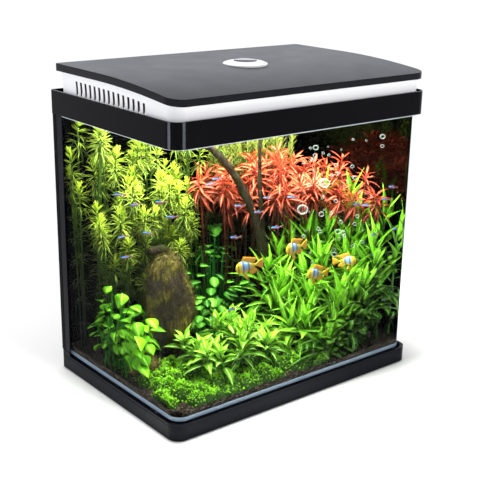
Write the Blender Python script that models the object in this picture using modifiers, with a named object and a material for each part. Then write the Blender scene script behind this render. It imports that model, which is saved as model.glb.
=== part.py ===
"""A bent-glass aquarium with a vented hood frame, a hinged lamp cover and an internal filter.

Metres, +Z up. The origin is the middle of the footprint on the floor, +X runs to the right along the
front glass and +Y points to the back. The sizes that can be set by themselves come first. Everything
that fits into, sits on or passes through a neighbour is worked out from them and from named clearances.
"""

import math

import bmesh
import bpy
from mathutils import Matrix, Vector

# ---------------------------------------------------------------- driving sizes

GAP = 0.0003  # between pieces that touch

# Overall: the top rim is the widest piece.
RIM_WIDTH = 0.400
RIM_DEPTH = 0.270
RIM_TOP = 0.380
RIM_HEIGHT = 0.030
RIM_FRONT_RADIUS = 0.0153
RIM_BACK_RADIUS = 0.004
RIM_LIP = 0.0020  # thickness of the raised lip round the hood
RIM_RECESS = 0.0035  # depth of the ledge below the lip
RIM_WEB = 0.0040  # thickness of the ledge over the glass edge
RIM_SIDE_LEDGE = 0.0085  # from the lip to the mouth of the tank, at the front and the sides
RIM_BACK_LEDGE = 0.0210  # the same at the back
RIM_INNER_SKIRT = 0.0060  # depth of the rim's inner wall below the ledge
CABLE_NOTCH = (0.012, 0.007)  # width and depth of the cut-out for the pump's lead

# Glass.
GLASS_INSET = 0.0030  # from the rim's outer face to the glass
GLASS_THICKNESS = 0.0040
GLASS_BEND_RADIUS = 0.0200  # outer radius of the two front corners
GLASS_BOTTOM_THICKNESS = 0.0050
GLASS_BOTTOM_JOINT = 0.0025  # wide joint that the bottom seal fills
SEAL_LEG = 0.0030

# Base frame.
BASE_INSET = 0.0010  # from the rim's outer face to the base's
BASE_BACK_INSET = 0.0012
BASE_TOP = 0.0216
BASE_RADIUS = 0.0150
BASE_BACK_RADIUS = 0.0040
BASE_RING_WIDTH = 0.0200
BASE_SLOT_FLOOR = 0.0100
BASE_GROOVE_Z = 0.0182
BASE_GROOVE = (0.0005, 0.0008)  # depth and height
SOCKET_RISE = 0.0050
FOOT_RADIUS = 0.0060
FOOT_STANDOFF = 0.0010
FOOT_POCKET = 0.0025
FOOT_INSET = 0.0105

# Rear posts.
POST_WALL = 0.0013
POST_LEG = 0.0210
POST_RIB = (0.0005, 0.0010)  # height and width
POST_RIB_PITCH = 0.0026
POST_RIBS = 3
BACKGROUND_THICKNESS = 0.0010

# Hood frame.
HOOD_SIDE_INSET = 0.0053  # from the rim's outer face to the hood's wall
HOOD_BACK_INSET = 0.0180
HOOD_FRONT_RADIUS = 0.0170
HOOD_BACK_RADIUS = 0.0095
HOOD_WALL = 0.0022
HOOD_BAND_HEIGHT = 0.0092  # the upright band below the flare
HOOD_FLARE = 0.0018
HOOD_FLANGE_THICKNESS = 0.0022
HOOD_SKIRT_WALL = 0.0020
HOOD_SKIRT_DEPTH = 0.0055
HOOD_SKIRT_CLEARANCE = 0.0010
HOOD_SIDE_STEPS = 14  # straight stretches along each side, so that the top follows the cover
VENT_COUNT = 15
VENT_WIDTH = 0.0044
VENT_PITCH = 0.01046
VENT_BACK_MARGIN = 0.0415  # from the hood's back wall to the first vent
VENT_LOW = 0.0032  # above the ledge
VENT_TOP_MARGIN = (0.0080, 0.0095)  # below the cover, at the last vent and at the first

# Lamp cover.
COVER_HOOD_OVERHANG = 0.0025  # past the top of the hood frame
COVER_RISE = 0.0340  # from the rim's top to the cover's, at the back
COVER_THICKNESS = 0.0092
COVER_FRONT_THINNING = 0.0010
COVER_FRONT_SAG = 0.0105
COVER_FLAT_RUN = 0.0970  # the top is level for this far from the back edge
COVER_BACK_RADIUS = 0.0045
COVER_HINGE_OVERHANG = 0.0007  # more overhang at the back, over the hinge
COVER_SKIN = 0.0024
COVER_WALL = 0.0025
COVER_LINER = 0.0014
COVER_EDGE_ROUND = 0.0006
CURVE_STEPS = 12
LENS_LENGTH = 0.290
LENS_WIDTH = 0.0600
LENS_BACK_MARGIN = 0.0220
LENS_THICKNESS = 0.0022
BOARD_THICKNESS = 0.0016
BOARD_MARGIN = 0.0050

# Hinge.
HINGE_X = 0.130
HINGE_AXIS_BACK = 0.0055  # behind the hood's wall at the base
HINGE_AXIS_DROP = 0.0038  # below the cover's underside
HINGE_RADIUS = 0.0026
HINGE_PIN_RADIUS = 0.0011
HINGE_CLEARANCE = 0.0003
KNUCKLE_LENGTH = 0.0120
LUG_LENGTH = 0.0050
HINGE_SIDE_GAP = 0.0006

# Light button in the middle of the cover.
BEZEL_RADIUS = 0.0285
BEZEL_RISE = 0.0040
BUTTON_RADIUS = 0.0145
BUTTON_RISE = 0.0025  # the middle of the button above the bezel
BUTTON_CLEARANCE = 0.0004
BUTTON_SKIRT = 0.0035
BUTTON_EDGE = 0.0007  # the button's edge above the bezel
BUTTON_TRAVEL = 0.0015
BUTTON_STEM_RADIUS = 0.0030
POCKET_DEPTH = 0.0026
POCKET_FLOOR = 0.0020
SWITCH_SIDE = 0.0080
SWITCH_HEIGHT = 0.0014
SPRING_RADIUS = 0.0065
SPRING_WIRE = 0.0003
SPRING_TURNS = 1.25
SPRING_PRESSED = 0.0018

# Cable gland through the back wall of the cover.
GLAND_X = 0.160
GLAND_RADIUS = 0.0030
GLAND_BORE = 0.0018
GLAND_FLANGE = 0.0008
GLAND_LENGTH = 0.0070  # behind the cover

# Substrate, stones and wood.
SUBSTRATE_DEPTH = 0.0070
SUBSTRATE_MARGIN = 0.0005

# Internal filter.
CASE_X = 0.058
CASE_WIDTH = 0.066
CASE_DEPTH = 0.0335
CASE_HEIGHT = 0.086
CASE_WALL = 0.0018
CASE_LIFT = 0.0080  # above the substrate
CASE_SLOTS = 5
CASE_SLOT = (0.044, 0.0030)  # width and height
CASE_SLOT_PITCH = 0.0080
SPONGE_CLEARANCE = 0.0008
PUMP_HEIGHT = 0.0300
CUP_RADIUS = 0.0100
CUP_LENGTH = 0.0080
IMPELLER_OFFSET = 0.007  # from the middle of the case
RISER_OFFSET = 0.022  # from the impeller's axis
RISER_RADIUS = 0.0045
RISER_BORE = 0.0032
RISER_DROP = 0.0240  # from the rim's lower edge to the riser's end
SOCKET_WALL = 0.0022
SOCKET_HEIGHT = 0.0080
NOZZLE_LENGTH = 0.0240
NOZZLE_SLEEVE = 0.0180
IMPELLER_RADIUS = 0.0110
IMPELLER_VANES = 6
IMPELLER_VANE = 0.0014
CHAMBER_CLEARANCE = 0.0015
CHAMBER_HEIGHT = 0.0085
MAGNET_RADIUS = 0.0065
MAGNET_LENGTH = 0.0130
MAGNET_CLEARANCE = 0.0005
SHAFT_RADIUS = 0.0010
SHAFT_SINK = 0.0030
COVER_DISC_THICKNESS = 0.0016

ARC_STEPS = 7
ROUND_SIDES = 24

# ---------------------------------------------------------------- sizes worked out from them

RIM_HALF = RIM_WIDTH / 2
RIM_FRONT = -RIM_DEPTH / 2
RIM_BACK = RIM_DEPTH / 2
RIM_BOTTOM = RIM_TOP - RIM_HEIGHT
LEDGE_TOP = RIM_TOP - RIM_RECESS
LEDGE_UNDER = LEDGE_TOP - RIM_WEB

GLASS_HALF = RIM_HALF - GLASS_INSET
GLASS_FRONT = RIM_FRONT + GLASS_INSET
GLASS_BACK = RIM_BACK - GLASS_INSET - BASE_BACK_INSET + BASE_INSET
GLASS_LOW = BASE_SLOT_FLOOR + GAP
GLASS_HIGH = LEDGE_UNDER - GAP
INNER_HALF = GLASS_HALF - GLASS_THICKNESS
INNER_FRONT = GLASS_FRONT + GLASS_THICKNESS
INNER_BACK = GLASS_BACK - GLASS_THICKNESS
INNER_RADIUS = GLASS_BEND_RADIUS - GLASS_THICKNESS

PANE_LOW = BASE_TOP + GAP
PANE_HIGH = PANE_LOW + GLASS_BOTTOM_THICKNESS
SUBSTRATE_LOW = PANE_HIGH + GAP
SUBSTRATE_TOP = SUBSTRATE_LOW + SUBSTRATE_DEPTH
STANDING = SUBSTRATE_TOP + GAP  # where stones and plants stand

HOOD_HALF = RIM_HALF - HOOD_SIDE_INSET
HOOD_FRONT = RIM_FRONT + HOOD_SIDE_INSET
HOOD_BACK = RIM_BACK - HOOD_BACK_INSET
HOOD_LOW = LEDGE_TOP + GAP
COVER_GROW = HOOD_FLARE + COVER_HOOD_OVERHANG
COVER_FRONT = HOOD_FRONT - COVER_GROW
COVER_BACK = HOOD_BACK + COVER_GROW + COVER_HINGE_OVERHANG
COVER_BACK_TOP = RIM_TOP + COVER_RISE
COVER_FLAT_Y = COVER_BACK - COVER_FLAT_RUN
LENS_Y = (COVER_BACK - LENS_BACK_MARGIN - LENS_WIDTH, COVER_BACK - LENS_BACK_MARGIN)
BUTTON_Y = (COVER_FRONT + COVER_BACK) / 2
VENT_BACK_Y = HOOD_BACK - VENT_BACK_MARGIN

HINGE_Y = HOOD_BACK + HINGE_AXIS_BACK
HINGE_Z = COVER_BACK_TOP - COVER_THICKNESS - HINGE_AXIS_DROP

FILTER_BACK = INNER_BACK - CUP_LENGTH
CASE_Y = FILTER_BACK - CASE_DEPTH / 2
CASE_LOW = STANDING + CASE_LIFT
CASE_HIGH = CASE_LOW + CASE_HEIGHT
PUMP_LOW = CASE_HIGH + GAP
PUMP_HIGH = PUMP_LOW + PUMP_HEIGHT
IMPELLER_X = CASE_X - IMPELLER_OFFSET
RISER_TOP = RIM_BOTTOM - RISER_DROP
RISER_X = IMPELLER_X + RISER_OFFSET


def cover_top(y):
    """Height of the cover's top: level at the back, then a parabola that dips to the front edge."""
    run = max(0.0, COVER_FLAT_Y - y) / (COVER_FLAT_Y - COVER_FRONT)
    return COVER_BACK_TOP - COVER_FRONT_SAG * run * run


def cover_under(y):
    """Height of the cover's underside, which follows its top and thins a little to the front."""
    run = max(0.0, COVER_FLAT_Y - y) / (COVER_FLAT_Y - COVER_FRONT)
    return cover_top(y) - COVER_THICKNESS + COVER_FRONT_THINNING * run * run


BUTTON_SEAT = cover_top(BUTTON_Y) - POCKET_DEPTH
BEZEL_TOP = cover_top(BUTTON_Y) + BEZEL_RISE
BUTTON_TOP = BEZEL_TOP + BUTTON_RISE
BUTTON_UNDER = BEZEL_TOP + BUTTON_EDGE - BUTTON_SKIRT


# ---------------------------------------------------------------- scene, collections, materials

def clear_scene():
    for obj in list(bpy.data.objects):
        bpy.data.objects.remove(obj, do_unlink=True)


def new_collection(name):
    collection = bpy.data.collections.new(name)
    bpy.context.scene.collection.children.link(collection)
    return collection


clear_scene()
PARTS = new_collection("aquarium")
CUTTERS = new_collection("cutters")
CUTTERS.hide_render = True

FINISHES = {
    # slot: colour, roughness, metallic, alpha
    "black_plastic": ((0.012, 0.012, 0.014), 0.30, 0.0, 1.0),
    "cover_plastic": ((0.030, 0.030, 0.034), 0.42, 0.0, 1.0),
    "white_plastic": ((0.82, 0.82, 0.84), 0.38, 0.0, 1.0),
    "button_gloss": ((0.05, 0.05, 0.055), 0.08, 0.0, 1.0),
    "glass": ((0.80, 0.90, 0.90), 0.02, 0.0, 0.25),
    "silicone": ((0.62, 0.70, 0.80), 0.35, 0.0, 1.0),
    "background": ((0.006, 0.006, 0.007), 0.60, 0.0, 1.0),
    "foot_rubber": ((0.02, 0.02, 0.02), 0.80, 0.0, 1.0),
    "steel": ((0.55, 0.55, 0.56), 0.25, 1.0, 1.0),
    "lamp_board": ((0.75, 0.75, 0.74), 0.50, 0.0, 1.0),
    "lamp_lens": ((0.90, 0.92, 0.95), 0.30, 0.0, 1.0),
    "substrate": ((0.030, 0.022, 0.015), 0.90, 0.0, 1.0),
    "stone": ((0.06, 0.055, 0.03), 0.85, 0.0, 1.0),
    "driftwood": ((0.050, 0.032, 0.020), 0.80, 0.0, 1.0),
    "plant_green": ((0.10, 0.30, 0.03), 0.50, 0.0, 1.0),
    "plant_red": ((0.45, 0.10, 0.05), 0.50, 0.0, 1.0),
    "filter_sponge": ((0.04, 0.05, 0.06), 0.95, 0.0, 1.0),
    "ceramic": ((0.85, 0.84, 0.80), 0.40, 0.0, 1.0),
}


def finish(slot):
    """The Principled material of a slot, made once."""
    made = bpy.data.materials.get(slot)
    if made:
        return made
    colour, roughness, metallic, alpha = FINISHES[slot]
    made = bpy.data.materials.new(slot)
    made.use_nodes = True
    shader = made.node_tree.nodes["Principled BSDF"]
    shader.inputs["Base Color"].default_value = (*colour, 1.0)
    shader.inputs["Roughness"].default_value = roughness
    shader.inputs["Metallic"].default_value = metallic
    shader.inputs["Alpha"].default_value = alpha
    made.diffuse_color = (*colour, alpha)
    return made


# ---------------------------------------------------------------- modelling helpers

def place_mesh(name, mesh, slot=None):
    """Links a mesh as a part with the slot's material, or as a cutter when it has no slot."""
    obj = bpy.data.objects.new(name, mesh)
    if slot is None:
        CUTTERS.objects.link(obj)
        obj.display_type = "WIRE"
        obj.hide_render = True
    else:
        PARTS.objects.link(obj)
        mesh.materials.clear()
        mesh.materials.append(finish(slot))
    mesh.shade_smooth()
    mesh.set_sharp_from_angle(angle=math.radians(35))
    return obj


def mesh_from(name, shape, slot=None):
    bmesh.ops.recalc_face_normals(shape, faces=shape.faces)
    mesh = bpy.data.meshes.new(name)
    shape.to_mesh(mesh)
    shape.free()
    return place_mesh(name, mesh, slot)


def box(name, low, high, slot=None):
    low, high = Vector(low), Vector(high)
    shape = bmesh.new()
    bmesh.ops.create_cube(shape, size=1.0)
    bmesh.ops.scale(shape, vec=high - low, verts=shape.verts)
    bmesh.ops.translate(shape, vec=(low + high) / 2, verts=shape.verts)
    return mesh_from(name, shape, slot)


AXIS_TURN = {
    "X": Matrix.Rotation(math.pi / 2, 4, "Y"),
    "Y": Matrix.Rotation(-math.pi / 2, 4, "X"),
    "Z": Matrix.Identity(4),
}


def cylinder(name, centre, radius, length, slot=None, axis="Z", top_radius=None, sides=ROUND_SIDES):
    """A cylinder or frustum whose axis runs from its low end by its length."""
    shape = bmesh.new()
    bmesh.ops.create_cone(
        shape,
        cap_ends=True,
        segments=sides,
        radius1=radius,
        radius2=radius if top_radius is None else top_radius,
        depth=length,
    )
    bmesh.ops.translate(shape, vec=(0, 0, length / 2), verts=shape.verts)
    bmesh.ops.transform(shape, matrix=Matrix.Translation(centre) @ AXIS_TURN[axis], verts=shape.verts)
    return mesh_from(name, shape, slot)


def curve_to_mesh(name, curve, slot, matrix=None):
    """Turns curve data into a mesh object with welded caps, and drops the curve."""
    source = bpy.data.objects.new(name + "_curve", curve)
    CUTTERS.objects.link(source)
    bpy.context.view_layer.update()
    graph = bpy.context.evaluated_depsgraph_get()
    mesh = bpy.data.meshes.new_from_object(source.evaluated_get(graph))
    mesh.name = name
    bpy.data.objects.remove(source)
    shape = bmesh.new()
    shape.from_mesh(mesh)
    bmesh.ops.remove_doubles(shape, verts=shape.verts, dist=0.00001)
    if matrix is not None:
        bmesh.ops.transform(shape, matrix=matrix, verts=shape.verts)
    bmesh.ops.recalc_face_normals(shape, faces=shape.faces)
    shape.to_mesh(mesh)
    shape.free()
    return place_mesh(name, mesh, slot)


SIDE_VIEW = Matrix(((0, 0, 1, 0), (1, 0, 0, 0), (0, 1, 0, 0), (0, 0, 0, 1)))


def slab(name, loops, low, high, slot=None, turn=None):
    """A flat outline, with any holes, between two heights. SIDE_VIEW stands it up, thick along X."""
    curve = bpy.data.curves.new(name, "CURVE")
    curve.dimensions = "2D"
    curve.fill_mode = "BOTH"
    curve.extrude = (high - low) / 2
    for loop in loops:
        spline = curve.splines.new("POLY")
        spline.points.add(len(loop) - 1)
        for point, (x, y) in zip(spline.points, loop):
            point.co = (x, y, 0, 1)
        spline.use_cyclic_u = True
    lift = Matrix.Translation((0, 0, (low + high) / 2))
    return curve_to_mesh(name, curve, slot, turn @ lift if turn else lift)


def turned(name, profile, centre, slot=None, axis="Z", steps=ROUND_SIDES, closed=False):
    """A Screw about an axis through centre. The profile is (radius, height), outer side top to bottom."""
    mesh = bpy.data.meshes.new(name)
    count = len(profile)
    edges = [(i, i + 1) for i in range(count - 1)]
    if closed:
        edges.append((count - 1, 0))
    mesh.from_pydata([(r, 0, z) for r, z in profile], edges, [])
    obj = place_mesh(name, mesh, slot)
    screw = obj.modifiers.new("turn", "SCREW")
    screw.steps = steps
    screw.render_steps = steps
    screw.use_merge_vertices = True
    screw.merge_threshold = 0.00001
    obj.matrix_world = Matrix.Translation(centre) @ AXIS_TURN[axis]
    return obj


def wire(name, points, radius, slot, radii=None, sides=2):
    """A round wire through the points, with filled ends. radii scales it point by point."""
    curve = bpy.data.curves.new(name, "CURVE")
    curve.dimensions = "3D"
    curve.bevel_depth = radius
    curve.bevel_resolution = sides
    curve.use_fill_caps = True
    spline = curve.splines.new("POLY")
    spline.points.add(len(points) - 1)
    for index, (point, place) in enumerate(zip(spline.points, points)):
        point.co = (*place, 1)
        point.radius = radii[index] if radii else 1.0
    return curve_to_mesh(name, curve, slot)


def combine(obj, tool, operation="DIFFERENCE"):
    modifier = obj.modifiers.new(tool.name, "BOOLEAN")
    modifier.operation = operation
    modifier.object = tool
    modifier.solver = "EXACT"
    return obj


def arc(centre, radius, start, end, steps=ARC_STEPS):
    """Points of an arc between two angles in degrees."""
    angles = [math.radians(start + (end - start) * i / steps) for i in range(steps + 1)]
    return [(centre[0] + radius * math.cos(a), centre[1] + radius * math.sin(a)) for a in angles]


class Plan:
    """A plan outline that is symmetric left to right, with round front and back corners."""

    def __init__(self, half, front, back, front_radius, back_radius):
        self.half, self.front, self.back = half, front, back
        self.front_radius, self.back_radius = front_radius, back_radius

    def grown(self, by, back=None):
        """The outline moved outward, by another amount at the back if given."""
        return Plan(
            self.half + by,
            self.front - by,
            self.back + (by if back is None else back),
            max(self.front_radius + by, 0.0004),
            max(self.back_radius + by, 0.0004),
        )

    def corner(self, side, end):
        """The centre and the radius of a corner's arc."""
        radius = self.front_radius if end < 0 else self.back_radius
        y = self.front + radius if end < 0 else self.back - radius
        return (side * (self.half - radius), y), radius

    def loop(self, side_steps=1):
        """The closed outline. Its straight sides can be cut into steps, for a top that curves along them."""
        right_back, left_back = self.corner(1, 1), self.corner(-1, 1)
        left_front, right_front = self.corner(-1, -1), self.corner(1, -1)
        low, high = self.front + self.front_radius, self.back - self.back_radius
        steps = [low + (high - low) * i / side_steps for i in range(1, side_steps)]
        return (
            arc(*right_back, 0, 90)
            + arc(*left_back, 90, 180)
            + [(-self.half, y) for y in reversed(steps)]
            + arc(*left_front, 180, 270)
            + arc(*right_front, 270, 360)
            + [(self.half, y) for y in steps]
        )

    def front_run(self):
        """The open run from the left back end round the front to the right back end."""
        left, right = self.corner(-1, -1), self.corner(1, -1)
        return (
            [(-self.half, self.back)]
            + arc(*left, 180, 270)
            + arc(*right, 270, 360)
            + [(self.half, self.back)]
        )


RIM_PLAN = Plan(RIM_HALF, RIM_FRONT, RIM_BACK, RIM_FRONT_RADIUS, RIM_BACK_RADIUS)
LIP_PLAN = RIM_PLAN.grown(-RIM_LIP)
MOUTH_PLAN = LIP_PLAN.grown(-RIM_SIDE_LEDGE, back=-RIM_BACK_LEDGE)
GLASS_OUT = Plan(GLASS_HALF, GLASS_FRONT, GLASS_BACK, GLASS_BEND_RADIUS, 0.0004)
GLASS_IN = Plan(INNER_HALF, INNER_FRONT, INNER_BACK, INNER_RADIUS, 0.0004)
BASE_PLAN = Plan(
    RIM_HALF - BASE_INSET,
    RIM_FRONT + BASE_INSET,
    RIM_BACK - BASE_BACK_INSET,
    BASE_RADIUS,
    BASE_BACK_RADIUS,
)
HOOD_PLAN = Plan(HOOD_HALF, HOOD_FRONT, HOOD_BACK, HOOD_FRONT_RADIUS, HOOD_BACK_RADIUS)
COVER_PLAN = Plan(
    HOOD_HALF + COVER_GROW,
    COVER_FRONT,
    COVER_BACK,
    HOOD_FRONT_RADIUS + HOOD_FLARE,
    COVER_BACK_RADIUS,
)


# ---------------------------------------------------------------- the tank

def add_base():
    base = slab(
        "base_frame",
        [BASE_PLAN.loop(), BASE_PLAN.grown(-BASE_RING_WIDTH).loop()],
        FOOT_STANDOFF,
        BASE_TOP,
        "black_plastic",
    )
    for side in (-1, 1):
        socket = slab(
            f"base_socket_{side}",
            [corner_outline(side, BASE_PLAN.half, BASE_PLAN.back, POST_LEG, BASE_BACK_RADIUS)],
            BASE_TOP - 0.004,
            BASE_TOP + SOCKET_RISE,
        )
        combine(base, socket, "UNION")
    groove = slab(
        "base_groove",
        [BASE_PLAN.grown(0.002).loop(), BASE_PLAN.grown(-BASE_GROOVE[0]).loop()],
        BASE_GROOVE_Z,
        BASE_GROOVE_Z + BASE_GROOVE[1],
    )
    combine(base, groove)
    combine(base, glass_slot("base_glass_slot", BASE_SLOT_FLOOR, BASE_TOP + 0.02))
    for x, y in foot_places():
        pocket = cylinder(
            "foot_pocket", (x, y, -0.002), FOOT_RADIUS + GAP, 0.002 + FOOT_STANDOFF + FOOT_POCKET
        )
        combine(base, pocket)
        name = f"foot_{'front' if y < 0 else 'back'}_{'left' if x < 0 else 'right'}"
        cylinder(name, (x, y, 0), FOOT_RADIUS, FOOT_STANDOFF + FOOT_POCKET - GAP, "foot_rubber")


def foot_places():
    x = BASE_PLAN.half - FOOT_INSET
    for y in (BASE_PLAN.front + FOOT_INSET, BASE_PLAN.back - FOOT_INSET):
        yield -x, y
        yield x, y


def glass_slot(name, low, high):
    """The channel that the bent pane and the back pane stand in, open to the sheet behind."""
    return slab(name, [GLASS_OUT.grown(GAP).loop(), GLASS_IN.grown(-GAP).loop()], low, high)


def corner_outline(side, half, back, leg, radius=0.0, ribs=0):
    """An angle round a back corner of the glass, with ribs up its side face if asked."""
    inner_x, inner_y = GLASS_HALF + GAP, GLASS_BACK + GAP
    points = [(inner_x, back - leg), (half, back - leg)]
    height, width = POST_RIB
    for index in range(ribs):
        y = back - (ribs - index) * POST_RIB_PITCH
        points += [(half, y), (half + height, y), (half + height, y + width), (half, y + width)]
    if radius:
        points += arc((half - radius, back - radius), radius, 0, 90, 4)
    else:
        points.append((half, back))
    points += [(half - leg, back), (half - leg, inner_y), (inner_x, inner_y)]
    return [(side * x, y) for x, y in points]


def add_posts():
    for side, word in ((-1, "left"), (1, "right")):
        outline = corner_outline(
            side, GLASS_HALF + GAP + POST_WALL, GLASS_BACK + GAP + POST_WALL, POST_LEG, ribs=POST_RIBS
        )
        slab(f"rear_post_{word}", [outline], BASE_TOP + SOCKET_RISE + GAP, RIM_BOTTOM - GAP, "black_plastic")


def add_glass():
    outer, inner = GLASS_OUT.front_run(), GLASS_IN.front_run()
    inner[0] = (inner[0][0], GLASS_BACK)
    inner[-1] = (inner[-1][0], GLASS_BACK)
    slab("bent_glass", [outer + inner[::-1]], GLASS_LOW, GLASS_HIGH, "glass")
    half = INNER_HALF - GAP
    box("rear_glass", (-half, INNER_BACK, GLASS_LOW), (half, GLASS_BACK, GLASS_HIGH), "glass")
    pane = GLASS_IN.grown(-GLASS_BOTTOM_JOINT, back=-GLASS_BOTTOM_JOINT)
    slab("bottom_glass", [pane.loop()], PANE_LOW, PANE_HIGH, "glass")
    slab(
        "bottom_seal",
        [GLASS_IN.grown(-GAP).loop(), pane.grown(GAP).loop()],
        PANE_LOW,
        PANE_HIGH,
        "silicone",
    )
    for side, word in ((-1, "left"), (1, "right")):
        x, y = side * (INNER_HALF - GAP), INNER_BACK - GAP
        outline = [(x, y), (x, y - SEAL_LEG), (x - side * SEAL_LEG, y)]
        slab(f"rear_seal_{word}", [outline], SUBSTRATE_LOW, LEDGE_UNDER - RIM_INNER_SKIRT - 0.002, "silicone")
    x = GLASS_HALF + GAP + POST_WALL - POST_LEG - GAP
    box(
        "background_sheet",
        (-x, GLASS_BACK + GAP, BASE_TOP + GAP),
        (x, GLASS_BACK + GAP + BACKGROUND_THICKNESS, RIM_BOTTOM - GAP),
        "background",
    )


def add_rim():
    rim = slab("top_rim", [RIM_PLAN.loop(), MOUTH_PLAN.loop()], RIM_BOTTOM, RIM_TOP, "black_plastic")
    combine(rim, slab("rim_recess", [LIP_PLAN.loop()], LEDGE_TOP, RIM_TOP + 0.01))
    combine(rim, glass_slot("rim_glass_slot", RIM_BOTTOM - 0.01, LEDGE_UNDER))
    relief = GLASS_IN.grown(-GAP + 0.001)
    combine(rim, slab("rim_relief", [relief.loop()], RIM_BOTTOM - 0.01, LEDGE_UNDER - RIM_INNER_SKIRT))
    width, depth = CABLE_NOTCH
    notch = box(
        "cable_notch",
        (GLAND_X - width / 2, MOUTH_PLAN.back - 0.002, RIM_BOTTOM),
        (GLAND_X + width / 2, MOUTH_PLAN.back + depth, RIM_TOP + 0.01),
    )
    combine(rim, notch)


# ---------------------------------------------------------------- the planted ground

def add_substrate():
    clear = SEAL_LEG * 0.71 + 0.001
    plan = GLASS_IN.grown(-SUBSTRATE_MARGIN)
    plan.back_radius = clear / (math.sqrt(2) - 1)
    slab("substrate", [plan.loop()], SUBSTRATE_LOW, SUBSTRATE_TOP, "substrate")


def mound(name, centre, size, slot, waist=0.0, lobes=0.0):
    """A rounded lump that stands on the substrate: a sphere with lobes, flattened at its foot."""
    shape = bmesh.new()
    bmesh.ops.create_icosphere(shape, subdivisions=2, radius=1.0)
    half = Vector(size) / 2
    for vert in shape.verts:
        turn = math.atan2(vert.co.y, vert.co.x)
        swell = 1 + lobes * math.sin(3 * turn + 4 * vert.co.z) - waist * max(0.0, -vert.co.z)
        vert.co = Vector((vert.co.x * half.x * swell, vert.co.y * half.y * swell, vert.co.z * half.z))
        vert.co.z = max(vert.co.z, -0.72 * half.z)
    lift = STANDING + 0.72 * half.z
    bmesh.ops.translate(shape, vec=(centre[0], centre[1], lift), verts=shape.verts)
    return mesh_from(name, shape, slot)


def spline_points(knots, per_span):
    """Catmull-Rom points through the knots, each a tuple of numbers of any length."""
    ends = [knots[0]] + list(knots) + [knots[-1]]
    found = []
    for a, b, c, d in zip(ends, ends[1:], ends[2:], ends[3:]):
        for step in range(per_span):
            t = step / per_span
            found.append(
                tuple(
                    0.5 * (2 * q + (r - p) * t + (2 * p - 5 * q + 4 * r - s) * t * t
                           + (3 * q - p - 3 * r + s) * t ** 3)
                    for p, q, r, s in zip(a, b, c, d)
                )
            )
    return found + [tuple(knots[-1])]


# Route of the main branch, from its foot to its tip: x, y, height above the substrate, radius.
BRANCH = (
    (0.064, 0.006, 0.0008, 0.0100),
    (0.064, 0.006, 0.040, 0.0085),
    (0.062, 0.010, 0.085, 0.0075),
    (0.050, 0.018, 0.130, 0.0068),
    (0.038, 0.023, 0.168, 0.0062),
    (0.023, 0.026, 0.214, 0.0056),
    (-0.006, 0.029, 0.251, 0.0048),
    (-0.036, 0.031, 0.270, 0.0034),
)


def add_planting():
    route = spline_points(BRANCH, 3)
    places = [(x, y, STANDING + z) for x, y, z, r in route]
    wire("driftwood", places, 1.0, "driftwood", radii=[r for x, y, z, r in route])
    mound("rock_large", (-0.106, 0.012), (0.062, 0.048, 0.156), "stone", lobes=0.07)
    mound("rock_small", (-0.166, -0.022), (0.040, 0.034, 0.030), "stone", lobes=0.06)
    for name, centre, size, slot in PLANTS:
        mound(name, centre, size, slot, waist=0.25)


# Each plant group as a plain lump: centre on the ground, and its width, depth and height.
PLANTS = (
    ("plant_stems_rear_left", (-0.130, 0.085), (0.095, 0.060, 0.340), "plant_green"),
    ("plant_broad_left", (-0.166, 0.028), (0.042, 0.048, 0.150), "plant_green"),
    ("plant_bush_centre", (-0.060, -0.062), (0.095, 0.050, 0.070), "plant_green"),
    ("plant_carpet_front", (-0.085, -0.108), (0.170, 0.030, 0.020), "plant_green"),
    ("plant_round_rear", (-0.015, 0.080), (0.050, 0.045, 0.110), "plant_green"),
    ("plant_grass_rear", (0.135, 0.092), (0.070, 0.050, 0.300), "plant_green"),
    ("plant_red_right", (0.130, 0.026), (0.096, 0.070, 0.276), "plant_red"),
    ("plant_long_leaf_right", (0.112, -0.070), (0.140, 0.090, 0.200), "plant_green"),
)


# ---------------------------------------------------------------- the internal filter

def add_filter():
    low = (CASE_X - CASE_WIDTH / 2, CASE_Y - CASE_DEPTH / 2, CASE_LOW)
    high = (CASE_X + CASE_WIDTH / 2, CASE_Y + CASE_DEPTH / 2, CASE_HIGH)
    case = box("filter_case", low, high, "black_plastic")
    inside_low = Vector(low) + Vector((CASE_WALL,) * 3)
    inside_high = Vector(high) - Vector((CASE_WALL, CASE_WALL, -0.01))
    combine(case, box("case_inside", inside_low, inside_high))
    for index in range(CASE_SLOTS):
        z = CASE_LOW + 0.012 + index * CASE_SLOT_PITCH
        slot_low = (CASE_X - CASE_SLOT[0] / 2, low[1] - 0.01, z)
        slot_high = (CASE_X + CASE_SLOT[0] / 2, low[1] + CASE_WALL + 0.0005, z + CASE_SLOT[1])
        combine(case, box(f"case_slot_{index}", slot_low, slot_high))
    inset = Vector((SPONGE_CLEARANCE,) * 3)
    sponge_high = Vector((inside_high.x, inside_high.y, CASE_HIGH - 0.003))
    box("filter_sponge", inside_low + inset, sponge_high - Vector((inset.x, inset.y, 0)), "filter_sponge")
    for side, word in ((-1, "left"), (1, "right")):
        profile = [
            (0.0, 0.0),
            (0.0028, 0.0),
            (0.0028, 0.0030),
            (CUP_RADIUS, CUP_LENGTH - 2 * GAP - 0.0008),
            (CUP_RADIUS, CUP_LENGTH - 2 * GAP),
            (0.0, CUP_LENGTH - 2 * GAP),
        ]
        place = (CASE_X + side * 0.020, FILTER_BACK + GAP, (CASE_LOW + CASE_HIGH) / 2)
        turned(f"suction_cup_{word}", profile[::-1], place, "foot_rubber", axis="Y", steps=16)


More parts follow.
